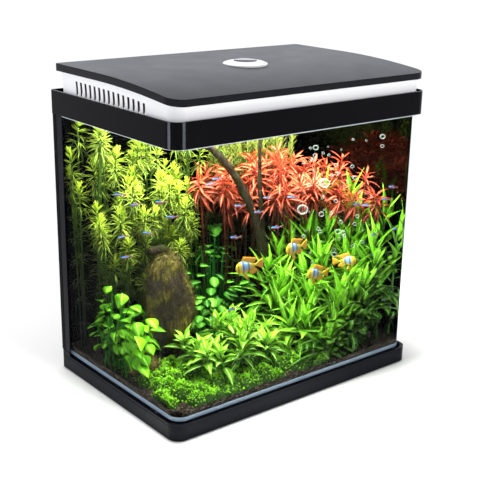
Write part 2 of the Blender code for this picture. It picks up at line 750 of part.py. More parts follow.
def add_pump():
    middle = (IMPELLER_X, CASE_Y)
    low = (CASE_X - CASE_WIDTH / 2, CASE_Y - CASE_DEPTH / 2, PUMP_LOW)
    high = (CASE_X + CASE_WIDTH / 2, CASE_Y + CASE_DEPTH / 2, PUMP_HIGH)
    body = box("pump_body", low, high, "black_plastic")
    disc_radius = IMPELLER_RADIUS + CHAMBER_CLEARANCE + 0.0015
    disc_top = PUMP_LOW + COVER_DISC_THICKNESS + 2 * GAP
    chamber_top = disc_top + CHAMBER_HEIGHT
    well_top = chamber_top + MAGNET_LENGTH + 0.001
    socket_radius = RISER_RADIUS + GAP + SOCKET_WALL
    socket_low = PUMP_HIGH - 0.002
    socket_high = PUMP_HIGH + SOCKET_HEIGHT
    socket = cylinder(
        "riser_socket", (RISER_X, CASE_Y, socket_low), socket_radius, socket_high - socket_low
    )
    combine(body, socket, "UNION")
    cuts = (
        ("disc_seat", middle, disc_radius + GAP, PUMP_LOW - 0.01, disc_top),
        ("chamber", middle, IMPELLER_RADIUS + CHAMBER_CLEARANCE, disc_top - 0.001, chamber_top),
        ("magnet_well", middle, MAGNET_RADIUS + MAGNET_CLEARANCE, chamber_top - 0.001, well_top),
        ("shaft_hole", middle, SHAFT_RADIUS + GAP, well_top - 0.001, well_top + SHAFT_SINK),
        ("riser_bore", (RISER_X, CASE_Y), RISER_BORE, disc_top + 0.001, PUMP_HIGH + 0.02),
        ("riser_seat", (RISER_X, CASE_Y), RISER_RADIUS + GAP, PUMP_HIGH, PUMP_HIGH + 0.02),
    )
    for name, (x, y), radius, bottom, top in cuts:
        combine(body, cylinder(name, (x, y, bottom), radius, top - bottom))
    channel_low = (IMPELLER_X + IMPELLER_RADIUS - 0.002, CASE_Y - RISER_BORE * 0.8, disc_top + 0.0012)
    channel_high = (RISER_X, CASE_Y + RISER_BORE * 0.8, chamber_top - 0.0008)
    combine(body, box("outlet_channel", channel_low, channel_high))

    disc = cylinder(
        "impeller_cover", (*middle, PUMP_LOW + GAP), disc_radius, COVER_DISC_THICKNESS, "black_plastic"
    )
    shaft_hole = cylinder(
        "cover_shaft_hole", (*middle, PUMP_LOW - 0.01), SHAFT_RADIUS + GAP, 0.03, sides=12
    )
    combine(disc, shaft_hole)
    for index in range(4):
        turn = math.radians(45 + 90 * index)
        x = IMPELLER_X + 0.0068 * math.cos(turn)
        y = CASE_Y + 0.0068 * math.sin(turn)
        combine(disc, cylinder(f"cover_inlet_{index}", (x, y, PUMP_LOW - 0.01), 0.0028, 0.03, sides=12))

    shaft_low = PUMP_LOW + 2 * GAP
    shaft_high = well_top + SHAFT_SINK - GAP
    cylinder("pump_shaft", (*middle, shaft_low), SHAFT_RADIUS, shaft_high - shaft_low, "ceramic", sides=12)
    add_impeller(disc_top, chamber_top, well_top)


def add_impeller(disc_top, chamber_top, well_top):
    """Vanes under a round plate, with the magnet above on the same hub, all on the shaft's axis."""
    middle = (IMPELLER_X, CASE_Y)
    plate_low = chamber_top - 0.0025
    impeller = cylinder("impeller", (*middle, plate_low), IMPELLER_RADIUS, 0.0014, "black_plastic")
    magnet_low = plate_low + 0.0005
    magnet = cylinder(
        "magnet_body", (*middle, magnet_low), MAGNET_RADIUS, well_top - 0.0006 - magnet_low
    )
    hub = cylinder("impeller_hub", (*middle, disc_top + 0.0006), 0.0030, plate_low - disc_top, sides=16)
    combine(impeller, magnet, "UNION")
    combine(impeller, hub, "UNION")
    for index in range(IMPELLER_VANES):
        vane = box(
            f"impeller_vane_{index}",
            (0.0015, -IMPELLER_VANE / 2, disc_top + 0.0006),
            (IMPELLER_RADIUS - 0.0006, IMPELLER_VANE / 2, plate_low + 0.0005),
        )
        turn = Matrix.Rotation(math.tau * (index + 0.27) / IMPELLER_VANES, 4, "Z")
        vane.data.transform(Matrix.Translation((*middle, 0)) @ turn)
        combine(impeller, vane, "UNION")
    bore = cylinder("impeller_bore", (*middle, disc_top - 0.01), SHAFT_RADIUS + GAP, 0.06, sides=12)
    combine(impeller, bore)


def add_riser():
    low, high = PUMP_HIGH + GAP, RISER_TOP
    tube = [(RISER_BORE, low), (RISER_BORE, high), (RISER_RADIUS, high), (RISER_RADIUS, low)]
    turned("riser_pipe", tube, (RISER_X, CASE_Y, 0), "black_plastic", steps=16, closed=True)
    sleeve_low = RISER_TOP - NOZZLE_SLEEVE
    sleeve_radius = RISER_RADIUS + GAP + 0.0018
    sleeve_high = RISER_TOP + 0.0095
    nozzle = cylinder(
        "outlet_nozzle", (RISER_X, CASE_Y, sleeve_low), sleeve_radius, sleeve_high - sleeve_low,
        "black_plastic", sides=20,
    )
    arm_z = RISER_TOP + GAP + 0.0035
    arm = cylinder(
        "nozzle_arm", (RISER_X, CASE_Y - NOZZLE_LENGTH, arm_z), 0.0050, NOZZLE_LENGTH, axis="Y", sides=16
    )
    combine(nozzle, arm, "UNION")
    seat = cylinder(
        "nozzle_seat", (RISER_X, CASE_Y, sleeve_low - 0.01), RISER_RADIUS + GAP,
        0.01 + RISER_TOP + GAP - sleeve_low, sides=20,
    )
    combine(nozzle, seat)
    chamber = cylinder("nozzle_chamber", (RISER_X, CASE_Y, RISER_TOP - 0.001), RISER_BORE, 0.0075, sides=16)
    combine(nozzle, chamber)
    bore = cylinder(
        "nozzle_bore", (RISER_X, CASE_Y - NOZZLE_LENGTH - 0.01, arm_z), 0.0030, NOZZLE_LENGTH + 0.01,
        axis="Y", sides=16,
    )
    combine(nozzle, bore)


# ---------------------------------------------------------------- the hood frame

def hood_section():
    """The wall's closed section: outward offset, share of the way up to the cover, height above HOOD_LOW.

    The share is 0 for points at a set height and 1 for points that follow the cover's underside.
    """
    skirt_out = -(HOOD_HALF - MOUTH_PLAN.half) - HOOD_SKIRT_CLEARANCE
    skirt_in = skirt_out - HOOD_SKIRT_WALL
    flare = [(HOOD_FLARE * s ** 1.6, s, HOOD_BAND_HEIGHT) for s in (0.25, 0.5, 0.75, 1.0)]
    inside = [(offset - HOOD_WALL, share, height) for offset, share, height in reversed(flare)]
    return (
        [(0.0, 0.0, 0.0), (0.0, 0.0, HOOD_BAND_HEIGHT)]
        + flare
        + inside
        + [
            (-HOOD_WALL, 0.0, HOOD_BAND_HEIGHT),
            (-HOOD_WALL, 0.0, HOOD_FLANGE_THICKNESS),
            (skirt_in, 0.0, HOOD_FLANGE_THICKNESS),
            (skirt_in, 0.0, -HOOD_SKIRT_DEPTH),
            (skirt_out, 0.0, -HOOD_SKIRT_DEPTH),
            (skirt_out, 0.0, 0.0),
        ]
    )


def add_hood():
    """The section carried round the plan: a loft, because the wall's top follows the curved cover."""
    shape = bmesh.new()
    rings = []
    for offset, share, height in hood_section():
        ring = []
        for x, y in HOOD_PLAN.grown(offset).loop(HOOD_SIDE_STEPS):
            low = HOOD_LOW + height
            ring.append(shape.verts.new((x, y, low + share * (cover_under(y) - GAP - low))))
        rings.append(ring)
    count = len(rings[0])
    for ring, following in zip(rings, rings[1:] + rings[:1]):
        for i in range(count):
            j = (i + 1) % count
            shape.faces.new((ring[i], ring[j], following[j], following[i]))
    hood = mesh_from("hood_frame", shape, "white_plastic")
    add_lugs(hood)
    combine(hood, vent_cutter())


def vent_cutter():
    """All the vents as one cutter: upright slots through both side walls."""
    shape = bmesh.new()
    for index in range(VENT_COUNT):
        y = VENT_BACK_Y - index * VENT_PITCH
        share = index / (VENT_COUNT - 1)
        margin = VENT_TOP_MARGIN[0] * (1 - share) + VENT_TOP_MARGIN[1] * share
        low, high = LEDGE_TOP + VENT_LOW, cover_under(y) - margin
        for side in (-1, 1):
            made = bmesh.ops.create_cube(shape, size=1.0)["verts"]
            bmesh.ops.scale(shape, vec=(4 * HOOD_WALL, VENT_WIDTH, high - low), verts=made)
            bmesh.ops.translate(shape, vec=(side * HOOD_HALF, y, (low + high) / 2), verts=made)
    return mesh_from("hood_vents", shape)


def lug_places(side):
    """The x ranges of the hood's two lugs at one hinge."""
    for end in (-1, 1):
        near = side * HINGE_X + end * (KNUCKLE_LENGTH / 2 + HINGE_SIDE_GAP)
        far = near + end * LUG_LENGTH
        yield min(near, far), max(near, far)


def add_lugs(hood):
    wall_y = HOOD_BACK - HOOD_WALL / 2
    for side, word in ((-1, "left"), (1, "right")):
        for index, (low, high) in enumerate(lug_places(side)):
            name = f"lug_{word}_{index}"
            web = box(
                name + "_web",
                (low, wall_y, HINGE_Z - HINGE_RADIUS),
                (high, HINGE_Y, HINGE_Z + HINGE_RADIUS * 0.6),
            )
            combine(hood, web, "UNION")
            eye = cylinder(
                name + "_eye", (low, HINGE_Y, HINGE_Z), HINGE_RADIUS, high - low, axis="X", sides=16
            )
            combine(hood, eye, "UNION")
        run = KNUCKLE_LENGTH + 2 * (HINGE_SIDE_GAP + LUG_LENGTH)
        bore = cylinder(
            f"lug_bore_{word}",
            (side * HINGE_X - run / 2 - 0.001, HINGE_Y, HINGE_Z),
            HINGE_PIN_RADIUS + HINGE_CLEARANCE,
            run + 0.002,
            axis="X",
            sides=16,
        )
        combine(hood, bore)
        cylinder(
            f"hinge_pin_{word}",
            (side * HINGE_X - run / 2 - 0.0005, HINGE_Y, HINGE_Z),
            HINGE_PIN_RADIUS,
            run + 0.001,
            "steel",
            axis="X",
            sides=16,
        )


# ---------------------------------------------------------------- the lamp cover

def side_outline(low, high, front, back):
    """The cover's side view between two height functions, as y and z."""
    curved = [front + (COVER_FLAT_Y - front) * i / CURVE_STEPS for i in range(CURVE_STEPS + 1)]
    ys = curved + [back]
    return [(y, low(y)) for y in ys] + [(y, high(y)) for y in reversed(ys)]


def curved_block(name, plan, low, high, slot=None):
    """A plan outline cut from a block whose faces follow the cover's curve."""
    block = slab(
        name,
        [side_outline(low, high, plan.front - 0.004, plan.back + 0.004)],
        -plan.half - 0.004,
        plan.half + 0.004,
        slot,
        SIDE_VIEW,
    )
    prism = slab(name + "_plan", [plan.loop()], COVER_BACK_TOP - 0.05, COVER_BACK_TOP + 0.02)
    return combine(block, prism, "INTERSECT")


def add_cover():
    cover = curved_block("cover_plate", COVER_PLAN, cover_under, cover_top, "cover_plastic")
    edge = cover.modifiers.new("edge_round", "BEVEL")
    edge.width = COVER_EDGE_ROUND
    edge.segments = 2
    edge.limit_method = "ANGLE"
    edge.angle_limit = math.radians(60)
    inner = COVER_PLAN.grown(-COVER_WALL)
    hollow = curved_block(
        "cover_hollow", inner, lambda y: cover_under(y) - 0.01, lambda y: cover_top(y) - COVER_SKIN
    )
    combine(cover, hollow)
    cup = cylinder(
        "button_cup",
        (0, BUTTON_Y, BUTTON_SEAT - POCKET_FLOOR),
        BEZEL_RADIUS + GAP + 0.0016,
        POCKET_FLOOR + 0.001,
        sides=40,
    )
    combine(cover, cup, "UNION")
    pocket = cylinder("button_pocket", (0, BUTTON_Y, BUTTON_SEAT), BEZEL_RADIUS + GAP, 0.02, sides=40)
    combine(cover, pocket)
    hole = cylinder(
        "stem_hole", (0, BUTTON_Y, BUTTON_SEAT - 0.01), BUTTON_STEM_RADIUS + BUTTON_CLEARANCE, 0.02
    )
    combine(cover, hole)
    for side, word in ((-1, "left"), (1, "right")):
        add_knuckle(cover, side, word)
    gland_z = (cover_top(COVER_BACK) + cover_under(COVER_BACK)) / 2
    gland_hole = cylinder(
        "gland_hole", (GLAND_X, COVER_BACK - 0.01, gland_z), GLAND_RADIUS + GAP, 0.02, axis="Y", sides=16
    )
    combine(cover, gland_hole)
    add_gland(gland_z)


def add_knuckle(cover, side, word):
    x = side * HINGE_X - KNUCKLE_LENGTH / 2
    wall_front = COVER_BACK - COVER_WALL
    web = box(
        f"knuckle_web_{word}",
        (x, max(wall_front, HINGE_Y - HINGE_RADIUS) + 0.0001, HINGE_Z),
        (x + KNUCKLE_LENGTH, COVER_BACK - COVER_EDGE_ROUND, COVER_BACK_TOP - COVER_THICKNESS + 0.002),
    )
    combine(cover, web, "UNION")
    eye = cylinder(
        f"knuckle_eye_{word}", (x, HINGE_Y, HINGE_Z), HINGE_RADIUS, KNUCKLE_LENGTH, axis="X", sides=16
    )
    combine(cover, eye, "UNION")
    bore = cylinder(
        f"knuckle_bore_{word}",
        (x - 0.001, HINGE_Y, HINGE_Z),
        HINGE_PIN_RADIUS + HINGE_CLEARANCE,
        KNUCKLE_LENGTH + 0.002,
        axis="X",
        sides=16,
    )
    combine(cover, bore)


def add_gland(z):
    """A flanged sleeve through the cover's back wall."""
    flange = GLAND_RADIUS + 0.0012
    outside, inside = GLAND_LENGTH, -COVER_WALL
    profile = [
        (GLAND_BORE, inside),
        (GLAND_BORE, outside),
        (GLAND_RADIUS - 0.0006, outside),
        (GLAND_RADIUS, GAP + GLAND_FLANGE + 0.001),
        (flange, GAP + GLAND_FLANGE),
        (flange, GAP),
        (GLAND_RADIUS, GAP),
        (GLAND_RADIUS, inside),
    ]
    turned("cable_gland", profile, (GLAND_X, COVER_BACK, z), "foot_rubber", axis="Y", steps=16, closed=True)


def add_liner():
    plan = COVER_PLAN.grown(-COVER_WALL - GAP)
    liner = curved_block(
        "cover_liner", plan, cover_under, lambda y: cover_under(y) + COVER_LINER, "white_plastic"
    )
    half = LENS_LENGTH / 2
    low, high = COVER_BACK_TOP - COVER_THICKNESS, COVER_BACK_TOP - COVER_SKIN
    window = box(
        "lens_window",
        (-half - GAP, LENS_Y[0] - GAP, low - 0.01),
        (half + GAP, LENS_Y[1] + GAP, low + 0.01),
    )
    combine(liner, window)
    box("lamp_lens", (-half, LENS_Y[0], low), (half, LENS_Y[1], low + LENS_THICKNESS), "lamp_lens")
    board_high = high - GAP
    box(
        "lamp_board",
        (-half + BOARD_MARGIN, LENS_Y[0] + BOARD_MARGIN, board_high - BOARD_THICKNESS),
        (half - BOARD_MARGIN, LENS_Y[1] - BOARD_MARGIN, board_high),
        "lamp_board",
    )


def add_button():
    middle = (0, BUTTON_Y, 0)
    seat = BUTTON_SEAT + GAP
    bore = BUTTON_RADIUS + BUTTON_CLEARANCE
    edge = cover_top(BUTTON_Y) + 0.0008
    bezel = [
        (bore, seat),
        (bore, BEZEL_TOP),
        (bore + 0.0025, BEZEL_TOP),
        (BEZEL_RADIUS - 0.0055, BEZEL_TOP - 0.0008),
        (BEZEL_RADIUS - 0.0018, BEZEL_TOP - 0.0021),
        (BEZEL_RADIUS, edge),
        (BEZEL_RADIUS, seat),
    ]
    turned("button_bezel", bezel, middle, "white_plastic", steps=40, closed=True)

    crown = [
        (BUTTON_RADIUS * math.sin(a), BUTTON_TOP - (BUTTON_RISE - BUTTON_EDGE) * (1 - math.cos(a)))
        for a in (math.radians(15 * i) for i in range(6))
    ]
    stem_low = BUTTON_SEAT - POCKET_FLOOR + 0.0007
    button = crown + [
        (BUTTON_RADIUS, BEZEL_TOP + 0.0002),
        (BUTTON_RADIUS, BUTTON_UNDER),
        (BUTTON_STEM_RADIUS, BUTTON_UNDER),
        (BUTTON_STEM_RADIUS, stem_low),
        (0.0, stem_low),
    ]
    turned("light_button", button, middle, "button_gloss", steps=32)

    half = SWITCH_SIDE / 2
    switch_low = cover_under(BUTTON_Y + half) + COVER_LINER + GAP
    switch_high = min(stem_low - BUTTON_TRAVEL - 0.0001, switch_low + SWITCH_HEIGHT)
    box(
        "switch_body",
        (-half, BUTTON_Y - half, switch_low),
        (half, BUTTON_Y + half, switch_high),
        "black_plastic",
    )

    low, high = seat + SPRING_WIRE, seat + SPRING_PRESSED - SPRING_WIRE
    turns = round(16 * SPRING_TURNS)
    coil = [
        (
            SPRING_RADIUS * math.cos(math.tau * i / 16),
            BUTTON_Y + SPRING_RADIUS * math.sin(math.tau * i / 16),
            low + (high - low) * i / turns,
        )
        for i in range(turns + 1)
    ]
    wire("button_spring", coil, SPRING_WIRE, "steel")


def main():
    add_base()
    add_glass()
    add_posts()
    add_rim()
    add_substrate()
    add_planting()
    add_filter()
    add_pump()
    add_riser()
    add_hood()
    add_cover()
    add_liner()
    add_button()


main()
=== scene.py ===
"""Looks of a small aquarium: planting, stones, wood, fish, water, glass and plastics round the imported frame.
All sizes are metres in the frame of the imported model."""
import math

import bpy
import numpy as np
from mathutils import Matrix, Vector


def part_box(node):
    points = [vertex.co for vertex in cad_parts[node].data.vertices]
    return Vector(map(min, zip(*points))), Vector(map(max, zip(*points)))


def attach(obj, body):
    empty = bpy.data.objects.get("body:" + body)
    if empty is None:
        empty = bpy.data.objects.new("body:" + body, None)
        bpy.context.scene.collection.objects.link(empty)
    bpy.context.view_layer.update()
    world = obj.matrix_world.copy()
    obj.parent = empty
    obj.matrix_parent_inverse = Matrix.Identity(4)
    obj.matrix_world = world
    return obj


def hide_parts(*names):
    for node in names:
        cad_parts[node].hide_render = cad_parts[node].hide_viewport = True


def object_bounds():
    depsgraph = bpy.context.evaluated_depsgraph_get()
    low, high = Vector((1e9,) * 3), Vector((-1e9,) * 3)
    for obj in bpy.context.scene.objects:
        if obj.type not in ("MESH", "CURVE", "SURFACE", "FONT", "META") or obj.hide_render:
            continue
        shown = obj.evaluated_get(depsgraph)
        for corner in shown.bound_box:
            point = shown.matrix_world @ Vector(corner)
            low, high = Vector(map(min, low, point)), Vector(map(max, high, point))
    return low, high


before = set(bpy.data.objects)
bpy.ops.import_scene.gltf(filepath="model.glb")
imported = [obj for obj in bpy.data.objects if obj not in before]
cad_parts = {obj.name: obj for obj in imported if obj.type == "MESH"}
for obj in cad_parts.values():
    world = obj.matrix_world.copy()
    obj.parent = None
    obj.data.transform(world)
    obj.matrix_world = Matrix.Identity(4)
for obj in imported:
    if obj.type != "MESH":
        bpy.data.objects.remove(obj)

cad_low, cad_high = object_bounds()

# ---------------------------------------------------------------- the places that everything else follows
UP = np.array([0.0, 0.0, 1.0])
GOLDEN_ANGLE = math.pi * (3 - math.sqrt(5))

pane_low, pane_high = (np.array(corner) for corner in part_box("bent_glass"))
GLASS_WALL = 0.004
ROOM_LIGHT = 0.22           # the room's own light
CORNER_RADIUS = 0.016       # inside the bends of the glass
WATER_GAP = 0.0006          # between the water and what holds it
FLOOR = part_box("bottom_glass")[1].z
SOIL_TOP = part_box("substrate")[1].z
RIM_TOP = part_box("top_rim")[1].z
RIM_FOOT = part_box("top_rim")[0].z
WATER_TOP = RIM_FOOT - 0.003
ROOT_DEPTH = 0.002          # how far stems reach into the soil
SOIL_DEPTH = 0.005          # what grows stays above this depth under the soil's top
PANE_ROOM = 0.0010          # between the leaves and the panes
FILTER_ROOM = 0.0015        # between the leaves and the filter
FILTER_NODES = ("filter_case", "pump_body", "impeller_cover", "impeller")
ANY_TURN = 6.28             # the range of a turn left to chance, in radians
inside_low = np.array([pane_low[0] + GLASS_WALL, pane_low[1] + GLASS_WALL, SOIL_TOP])
inside_high = np.array([pane_high[0] - GLASS_WALL, pane_high[1] - GLASS_WALL, WATER_TOP])


def inside(x, y, z):
    """The point at these shares of the planted space, from its low corner to its high one."""
    return inside_low + (inside_high - inside_low) * np.array([x, y, z])


def node_box(node):
    """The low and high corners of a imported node."""
    return tuple(np.array(corner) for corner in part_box(node))


# ---------------------------------------------------------------- shader maths
class Value:
    """A socket in a finish's shader maths. Each operator adds one Math node and gives its result."""

    def __init__(self, finish, socket):
        self.finish, self.socket = finish, socket

    def math(self, operation, *others, clamp=False):
        sockets = dict(enumerate((self, *others)))
        return self.finish.add("Math", {"operation": operation, "use_clamp": clamp}, sockets)

    def __add__(self, other):
        return self.math("ADD", other)

    def __mul__(self, other):
        return self.math("MULTIPLY", other)

    def __sub__(self, other):
        return self.math("SUBTRACT", other)

    def __rsub__(self, other):
        return self * -1 + other

    def __truediv__(self, other):
        return self.math("DIVIDE", other)

    def __pow__(self, other):
        return self.math("POWER", other)

    __radd__ = __add__
    __rmul__ = __mul__

    def above(self, edge, soft=0.02):
        """0 below the edge, 1 above it, changing over the soft width."""
        return ((self - edge) / soft + 0.5).math("MAXIMUM", 0.0, clamp=True)

    def band(self, middle, half, soft=0.02):
        """1 within half of the middle, 0 outside."""
        return 1 - (self - middle).math("ABSOLUTE").above(half, soft)


class Finish:
    """A material being made. add() puts in any node: its type, its settings, then its sockets."""

    def __init__(self, name):
        self.material = bpy.data.materials.new(name)
        self.material.use_nodes = True
        self.tree = self.material.node_tree
        self.tree.nodes.clear()

    def add(self, kind, settings=None, sockets=None, result=0):
        node = self.tree.nodes.new("ShaderNode" + kind)
        for name, value in (settings or {}).items():
            setattr(node, name, value)
        for key, value in (sockets or {}).items():
            socket = node.inputs[key]
            if isinstance(value, Value):
                self.tree.links.new(value.socket, socket)
            elif socket.type == "RGBA":
                socket.default_value = (*value, 1.0)
            else:
                socket.default_value = value
        return Value(self, node.outputs[result]) if len(node.outputs) else None

    def mix(self, share, first, second):
        """One colour turning into another."""
        settings = {"data_type": "RGBA"}
        return self.add("Mix", settings, {0: share, 6: first, 7: second}, result=2)

    def place(self):
        return self.add("TexCoord", result="Object")

    def part(self, vector, axis):
        """One number of a vector: its X, Y or Z."""
        return self.add("SeparateXYZ", {}, {"Vector": vector}, result=axis)

    def normal_part(self, axis):
        return self.part(self.add("NewGeometry", result="Normal"), axis)

    def stretched(self, scale):
        return self.add("Mapping", {}, {"Vector": self.place(), "Scale": scale})

    def noise(self, scale, detail=3.0, roughness=0.55, vector=None):
        sockets = {"Scale": scale, "Detail": detail, "Roughness": roughness}
        sockets["Vector"] = vector or self.place()
        return self.add("TexNoise", {}, sockets)

    def cells(self, scale):
        return self.add("TexVoronoi", {}, {"Scale": scale, "Vector": self.place()})

    def bump(self, height, distance, strength=1.0):
        return self.add("Bump", {}, {"Height": height, "Distance": distance, "Strength": strength})

    def parts(self, name):
        """The three numbers of a point attribute."""
        vector = self.add("Attribute", {"attribute_name": name}, result="Vector")
        return [self.part(vector, axis) for axis in "XYZ"]

    def coat(self, sockets):
        """A Principled BSDF with these sockets."""
        return self.add("BsdfPrincipled", {}, sockets)

    def surface(self, sockets):
        """Ends the finish in one Principled BSDF."""
        return self.end(self.coat(sockets))

    def end(self, shader):
        self.add("OutputMaterial", {}, {"Surface": shader})
        return self.material


# ---------------------------------------------------------------- mesh helpers
def grid_faces(rows, columns, wrap=False):
    """Quads of a grid of points numbered row by row; wrap joins the last column to the first."""
    row = np.arange(rows - 1)[:, None]
    column = np.arange(columns if wrap else columns - 1)[None, :]
    beside = (column + 1) % columns
    corners = (row * columns + column, (row + 1) * columns + column,
               (row + 1) * columns + beside, row * columns + beside)
    return np.stack(np.broadcast_arrays(*corners), axis=-1).reshape(-1, 4)


def end_caps(sides, last):
    """Triangles that close a tube of wrapped rings on its first point, 0, and on its last."""
    around = np.arange(sides)
    beside = (around + 1) % sides
    first_cap = np.stack([np.zeros(sides, int), beside + 1, around + 1], axis=1)
    last_cap = np.stack([np.full(sides, last), around + last - sides, beside + last - sides], axis=1)
    return np.concatenate([first_cap, last_cap])


def tube_wall(rings, sides):
    """Quads of a tube of wrapped rings whose points are numbered from 1."""
    return (grid_faces(rings, sides, wrap=True) + 1)[:, ::-1]


def sheet_border(rows, columns):
    """The points round the edge of a grid in order, and the one after each."""
    index = np.arange(rows * columns).reshape(rows, columns)
    edge = np.concatenate([index[0, :-1], index[:-1, -1], index[-1, :0:-1], index[:0:-1, 0]])
    return edge, np.roll(edge, -1)


def round_front(low, high, radius, back, steps):
    """An outline from the left back to the right back of a box: straight sides, and a quarter circle of this
    many points at each front corner."""
    turn = np.linspace(0, math.pi / 2, steps)
    sine, cosine = np.sin(turn), np.cos(turn)
    left = np.stack([low[0] + radius - radius * cosine, low[1] + radius - radius * sine], axis=1)
    right = np.stack([high[0] - radius + radius * sine, low[1] + radius - radius * cosine], axis=1)
    return np.vstack([[[low[0], back]], left, right, [[high[0], back]]])


def pull_into_bends(points, right, front, radius):
    """Moves points beyond the rounded front corners back to them. The corners are the same on both sides."""
    centre_x, centre_y = right - radius, front + radius
    over_x, over_y = np.abs(points[:, 0]) - centre_x, centre_y - points[:, 1]
    beyond = np.hypot(over_x, over_y)
    outside = (over_x > 0) & (over_y > 0) & (beyond > radius)
    pull = np.where(outside, radius / np.maximum(beyond, 1e-9), 1.0)
    points[:, 0] = np.where(outside, np.sign(points[:, 0]) * (centre_x + over_x * pull), points[:, 0])
    points[:, 1] = np.where(outside, centre_y - over_y * pull, points[:, 1])


def unit(vectors):
    return vectors / np.linalg.norm(vectors, axis=-1, keepdims=True)


def value_noise(points, size, seed=0):
    """Noise from -1 to 1: random numbers on a lattice of this cell size, blended smoothly between corners."""
    table = np.random.default_rng(seed).uniform(-1, 1, (16, 16, 16))
    scaled = points / size + 100.0
    cell = np.floor(scaled).astype(int)
    share = scaled - cell
    share = share * share * (3 - 2 * share)
    total = np.zeros(points.shape[:-1])
    for corner in np.ndindex(2, 2, 2):
        at = (cell + corner) % 16
        weight = np.prod(np.where(np.array(corner) == 1, share, 1 - share), axis=-1)
        total += weight * table[at[..., 0], at[..., 1], at[..., 2]]
    return total


def rough_noise(points, size, seed=0, octaves=4):
    """Layers of noise, each half the size and half the height of the one before."""
    layers = [value_noise(points, size / 2**i, seed + i) / 2**i for i in range(octaves)]
    return sum(layers)


def keep_inside(points):
    """Moves points that would pass through a pane or the water's surface back to it, round the bends as well,
    keeps them above the underside of the soil, and clears them of the filter."""
    low, high = inside_low + PANE_ROOM, inside_high - PANE_ROOM
    low[2] = SOIL_TOP - SOIL_DEPTH
    found = np.clip(points, low, high)
    pull_into_bends(found, high[0], low[1], CORNER_RADIUS - PANE_ROOM)
    return clear_filter(found)


def clear_filter(points):
    """Moves points that would be in the filter, its pipe or the circle its nozzle swings through, forward
    until they are clear."""
    boxes = np.array([node_box(node) for node in FILTER_NODES])
    low, high = boxes[:, 0].min(axis=0) - FILTER_ROOM, boxes[:, 1].max(axis=0) + FILTER_ROOM
    x, y, z = points.T.copy()
    within = (x > low[0]) & (x < high[0]) & (y > low[1]) & (z < high[2])
    y = np.where(within, low[1], y)
    pipe, nozzle = node_box("riser_pipe"), node_box("outlet_nozzle")
    axis, pipe_half = (pipe[0] + pipe[1]) / 2, (pipe[1] - pipe[0])[0] / 2
    swing = np.hypot(*np.maximum(np.abs(nozzle[0] - axis), np.abs(nozzle[1] - axis))[:2])
    at_nozzle = (z > nozzle[0][2] - FILTER_ROOM) & (z < nozzle[1][2] + FILTER_ROOM)
    radius = np.where(at_nozzle, swing, np.where(z > high[2], pipe_half, 0.0)) + FILTER_ROOM
    across = np.abs(x - axis[0])
    front = axis[1] - np.sqrt(np.maximum(radius**2 - across**2, 0))
    y = np.where((across < radius) & (y > front) & (z > high[2]), front, y)
    return np.column_stack([x, y, z])


class Bundle:
    """Points and faces gathered for one piece. Each point carries three numbers, the attribute "leaf"."""

    def __init__(self):
        self.points, self.values, self.quads, self.triangles = [], [], [], []
        self.count = 0

    def add(self, points, quads, triangles=None, values=None):
        points = np.asarray(points, float).reshape(-1, 3)
        values = np.zeros_like(points) if values is None else np.asarray(values, float).reshape(-1, 3)
        self.points.append(points)
        self.values.append(values)
        self.quads.append(np.asarray(quads).reshape(-1, 4) + self.count)
        if triangles is not None:
            self.triangles.append(np.asarray(triangles).reshape(-1, 3) + self.count)
        self.count += len(points)
        return self

    def piece(self, name, finish, body, slot, replaces=(), smooth=True, contained=False):
        """The piece, riding on a body, with its finish and the nodes it stands for; its record slot is not
        used. A contained piece is kept inside the tank."""
        points = keep_inside(np.concatenate(self.points)) if contained else np.concatenate(self.points)
        corner_lists = [np.concatenate(self.quads)]
        if self.triangles:
            corner_lists.append(np.concatenate(self.triangles))
        corners = np.concatenate([part.ravel() for part in corner_lists])
        sizes = np.concatenate([np.full(len(part), part.shape[1]) for part in corner_lists])
        mesh = bpy.data.meshes.new(name)
        mesh.vertices.add(len(points))
        mesh.vertices.foreach_set("co", points.astype(np.float32).ravel())
        mesh.loops.add(len(corners))
        mesh.loops.foreach_set("vertex_index", corners.astype(np.int32))
        mesh.polygons.add(len(sizes))
        mesh.polygons.foreach_set("loop_start", (np.cumsum(sizes) - sizes).astype(np.int32))
        mesh.update(calc_edges=True)
        leaf = mesh.attributes.new("leaf", "FLOAT_VECTOR", "POINT")
        leaf.data.foreach_set("vector", np.concatenate(self.values).astype(np.float32).ravel())
        mesh.polygons.foreach_set("use_smooth", np.full(len(sizes), smooth))
        mesh.materials.append(finish)
        thing = bpy.data.objects.new(name, mesh)
        bpy.context.scene.collection.objects.link(thing)
        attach(thing, body)
        if replaces:
            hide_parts(*replaces)
        return thing

    def planting(self, name, finish, node, slot="plant_green"):
        """The piece of what grows, kept inside the tank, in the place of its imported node."""
        return self.piece(name, finish, "tank", slot, [node], contained=True)


